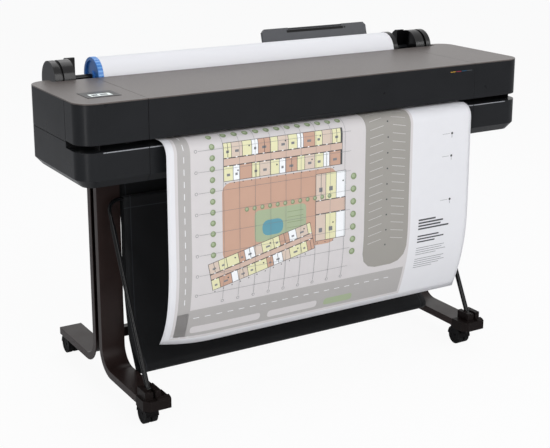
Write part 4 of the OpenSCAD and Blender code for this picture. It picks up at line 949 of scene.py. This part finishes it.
class PLOTTER_OT_display(PieceOperator, bpy.types.Operator):
    """Light the display and lay plain dark tiles on it"""
    bl_idname = "plotter.display"
    bl_label = "Display"

    def execute(self, context):
        low, high = corners("display")
        paint("display", lit_display("Display cover lens, lit pale", linear("#d5dedb"), 0.45))
        bm = bmesh.new()
        w, d = high.x - low.x, high.y - low.y
        for x0, y0, x1, y1 in ((0.12, 0.26, 0.40, 0.74), (0.50, 0.54, 0.84, 0.74),
                               (0.50, 0.26, 0.84, 0.46)):
            slab(bm, Vector((low.x + x0 * w, low.y + y0 * d, high.z)),
                 Vector((low.x + x1 * w, low.y + y1 * d, high.z + 0.0002)))
        added_to("display", "display_tiles", bm,
                 gloss_plastic("Printed display tile, dark", linear("#2c3032")))
        return {"FINISHED"}


class PLOTTER_OT_ink_marks(PieceOperator, bpy.types.Operator):
    """Print four plain ink-colour bars at the right of the window's front"""
    bl_idname = "plotter.ink_marks"
    bl_label = "Ink Marks"

    def execute(self, context):
        low, high = corners("window_cover")
        bm = bmesh.new()
        bar, pitch, inset = 0.017, 0.019, 0.084
        for i in range(4):
            x = high.x - inset + i * pitch
            made = slab(bm, Vector((x, low.y - 0.0002, high.z - 0.0158)),
                        Vector((x + bar, low.y + 0.0001, high.z - 0.0141)))
            for face in {face for vert in made for face in vert.link_faces}:
                face.material_index = i
        inks = [gloss_plastic("Pad-printed mark, " + name, linear(value))
                for name, value in (("yellow", "#b8902f"), ("red", "#8a2a3c"),
                                    ("blue", "#1f4d6b"), ("grey", "#484b4e"))]
        added_to("window_cover", "ink_marks", bm, inks)
        return {"FINISHED"}


class PLOTTER_OT_screws(PieceOperator, bpy.types.Operator):
    """Drive the button head screws into the back of the rear housing"""
    bl_idname = "plotter.screws"
    bl_label = "Screws"

    def execute(self, context):
        low, high = corners("rear_housing")
        bm = bmesh.new()
        inset = 0.024
        for z in (low.z + 0.028, high.z - 0.030):
            for x in (low.x + inset, low.x * 0.42, high.x * 0.36, high.x - inset):
                screw(bm, Vector((x, high.y, z)))
        steel = bare_metal("Blackened steel screw", linear("#55575a"), 0.35)
        finished("housing_screws", bm, steel, body_of("rear_housing"), smooth=30)
        return {"FINISHED"}


def screw(bm, place):
    """A button head screw with a recess, at a place on a face that looks back."""
    d = sizes().screw_d
    others = set(bm.verts)
    head = bmesh.ops.create_cone(bm, cap_ends=True, segments=20, radius1=d / 2,
                                 radius2=d * 0.38, depth=d * 0.24)["verts"]
    top = max({face for vert in head for face in vert.link_faces},
              key=lambda face: face.calc_center_median().z)
    bmesh.ops.inset_region(bm, faces=[top], thickness=d * 0.16, use_even_offset=True)
    bmesh.ops.translate(bm, verts=top.verts, vec=(0.0, 0.0, -d * 0.12))
    bmesh.ops.transform(bm, verts=[vert for vert in bm.verts if vert not in others],
                        matrix=Matrix.Translation(place) @ Matrix.Rotation(-math.pi / 2, 4, "X"))


class PLOTTER_OT_stage(PieceOperator, bpy.types.Operator):
    """Set the floor, the lights, the world and the camera"""
    bl_idname = "plotter.stage"
    bl_label = "Stage"

    def execute(self, context):
        scene = context.scene
        bm = bmesh.new()
        bmesh.ops.create_grid(bm, x_segments=1, y_segments=1, size=60.0)
        floor = finished("floor", bm, pale_floor(), None)
        low, high = CAD_BOX
        centre = (low + high) / 2
        for name, place, width, height, power in (
                ("key_light", (-0.1, -3.5, 2.4), 2.6, 2.6, 66.0),
                ("fill_light", (3.0, -2.4, 2.0), 0.9, 0.9, 12.0),
                ("edge_light", (-2.9, -2.2, 0.8), 0.4, 1.8, 26.0),
                ("top_light", (0.3, 1.4, 3.2), 2.6, 2.6, 28.0)):
            soft_light(name, Vector(place), centre, width, height, power)
        world = bpy.data.worlds.new("Studio")
        world.use_nodes = True
        tree = world.node_tree
        back = tree.nodes["Background"]
        path = add(tree, "LightPath")
        direct = add(tree, "Math", {0: path.outputs["Is Camera Ray"],
                                    1: path.outputs["Is Transmission Ray"]}, operation="MAXIMUM")
        seen = add(tree, "Math", {0: direct, 1: path.outputs["Is Glossy Ray"]},
                   operation="MAXIMUM")
        white = add(tree, "Background", {"Color": (1, 1, 1, 1), "Strength": 1.0})
        mixed = add(tree, "MixShader", {0: seen, 1: back, 2: white})
        back.inputs["Color"].default_value = (0.93, 0.95, 1.0, 1)
        back.inputs["Strength"].default_value = 0.42
        tree.links.new(mixed.outputs[0], tree.nodes["World Output"].inputs["Surface"])
        scene.world = world
        scene.view_settings.view_transform = "Standard"
        camera = bpy.data.objects.new("camera", bpy.data.cameras.new("camera"))
        scene.collection.objects.link(camera)
        camera.data.sensor_width = 36.0
        camera.data.lens = sizes().focal
        camera.data.shift_y = -0.1
        camera.location = (-1.605, -2.709, 1.342)
        camera.rotation_euler = (math.radians(90 - 14.4), 0.0, math.radians(-30.9))
        scene.camera = camera
        return {"FINISHED"}


def soft_light(name, place, target, width, height, power):
    """A soft box that points at the object."""
    lamp = bpy.data.lights.new(name, "AREA")
    lamp.shape = "RECTANGLE"
    lamp.size, lamp.size_y = width, height
    lamp.energy = power
    made = bpy.data.objects.new(name, lamp)
    bpy.context.scene.collection.objects.link(made)
    made.location = place
    made.rotation_euler = (target - place).to_track_quat("-Z", "Y").to_euler()


def pale_floor():
    """Painted white studio floor: shows a soft shadow and fades to the white backdrop."""
    material, tree, shader = new_material("Painted studio floor", roughness=0.8, gloss=0.0)
    shader.inputs["Base Color"].default_value = linear("#f2f2f2")
    path = add(tree, "LightPath")
    glow = add(tree, "Emission", {"Color": (1, 1, 1, 1), "Strength": 1.0})
    share = add(tree, "Math", {0: path.outputs["Is Camera Ray"], 1: 0.93}, operation="MULTIPLY")
    mixed = add(tree, "MixShader", {0: share, 1: shader, 2: glow})
    tree.links.new(mixed.outputs[0], tree.nodes["Material Output"].inputs["Surface"])
    return material


# ---------------------------------------------------------------- panel and main

STEPS = ("covers", "roll", "stand", "engine", "printed_sheet", "catch_bin", "display", "ink_marks",
         "screws", "stage")


class PLOTTER_PT_panel(bpy.types.Panel):
    """Lists the plotter's pieces in the sidebar"""
    bl_idname = "PLOTTER_PT_panel"
    bl_label = "Plotter"
    bl_space_type = "VIEW_3D"
    bl_region_type = "UI"
    bl_category = "Plotter"

    def draw(self, context):
        for step in STEPS:
            self.layout.operator("plotter." + step)
        for group in (context.scene.plotter_sizes, context.scene.plotter_colours):
            box = self.layout.box()
            for name in group.__annotations__:
                box.prop(group, name)


CLASSES = (PlotterSizes, PlotterColours, PLOTTER_OT_covers, PLOTTER_OT_roll,
           PLOTTER_OT_stand, PLOTTER_OT_engine, PLOTTER_OT_printed_sheet,
           PLOTTER_OT_catch_bin, PLOTTER_OT_display, PLOTTER_OT_ink_marks,
           PLOTTER_OT_screws, PLOTTER_OT_stage, PLOTTER_PT_panel)


def register():
    for cls in CLASSES:
        bpy.utils.register_class(cls)
    bpy.types.Scene.plotter_sizes = bpy.props.PointerProperty(type=PlotterSizes)
    bpy.types.Scene.plotter_colours = bpy.props.PointerProperty(type=PlotterColours)


def unregister():
    del bpy.types.Scene.plotter_colours
    del bpy.types.Scene.plotter_sizes
    for cls in reversed(CLASSES):
        bpy.utils.unregister_class(cls)


def main():
    register()
    for step in STEPS:
        getattr(bpy.ops.plotter, step)()
    bpy.context.view_layer.update()


if __name__ == "__main__":
    main()
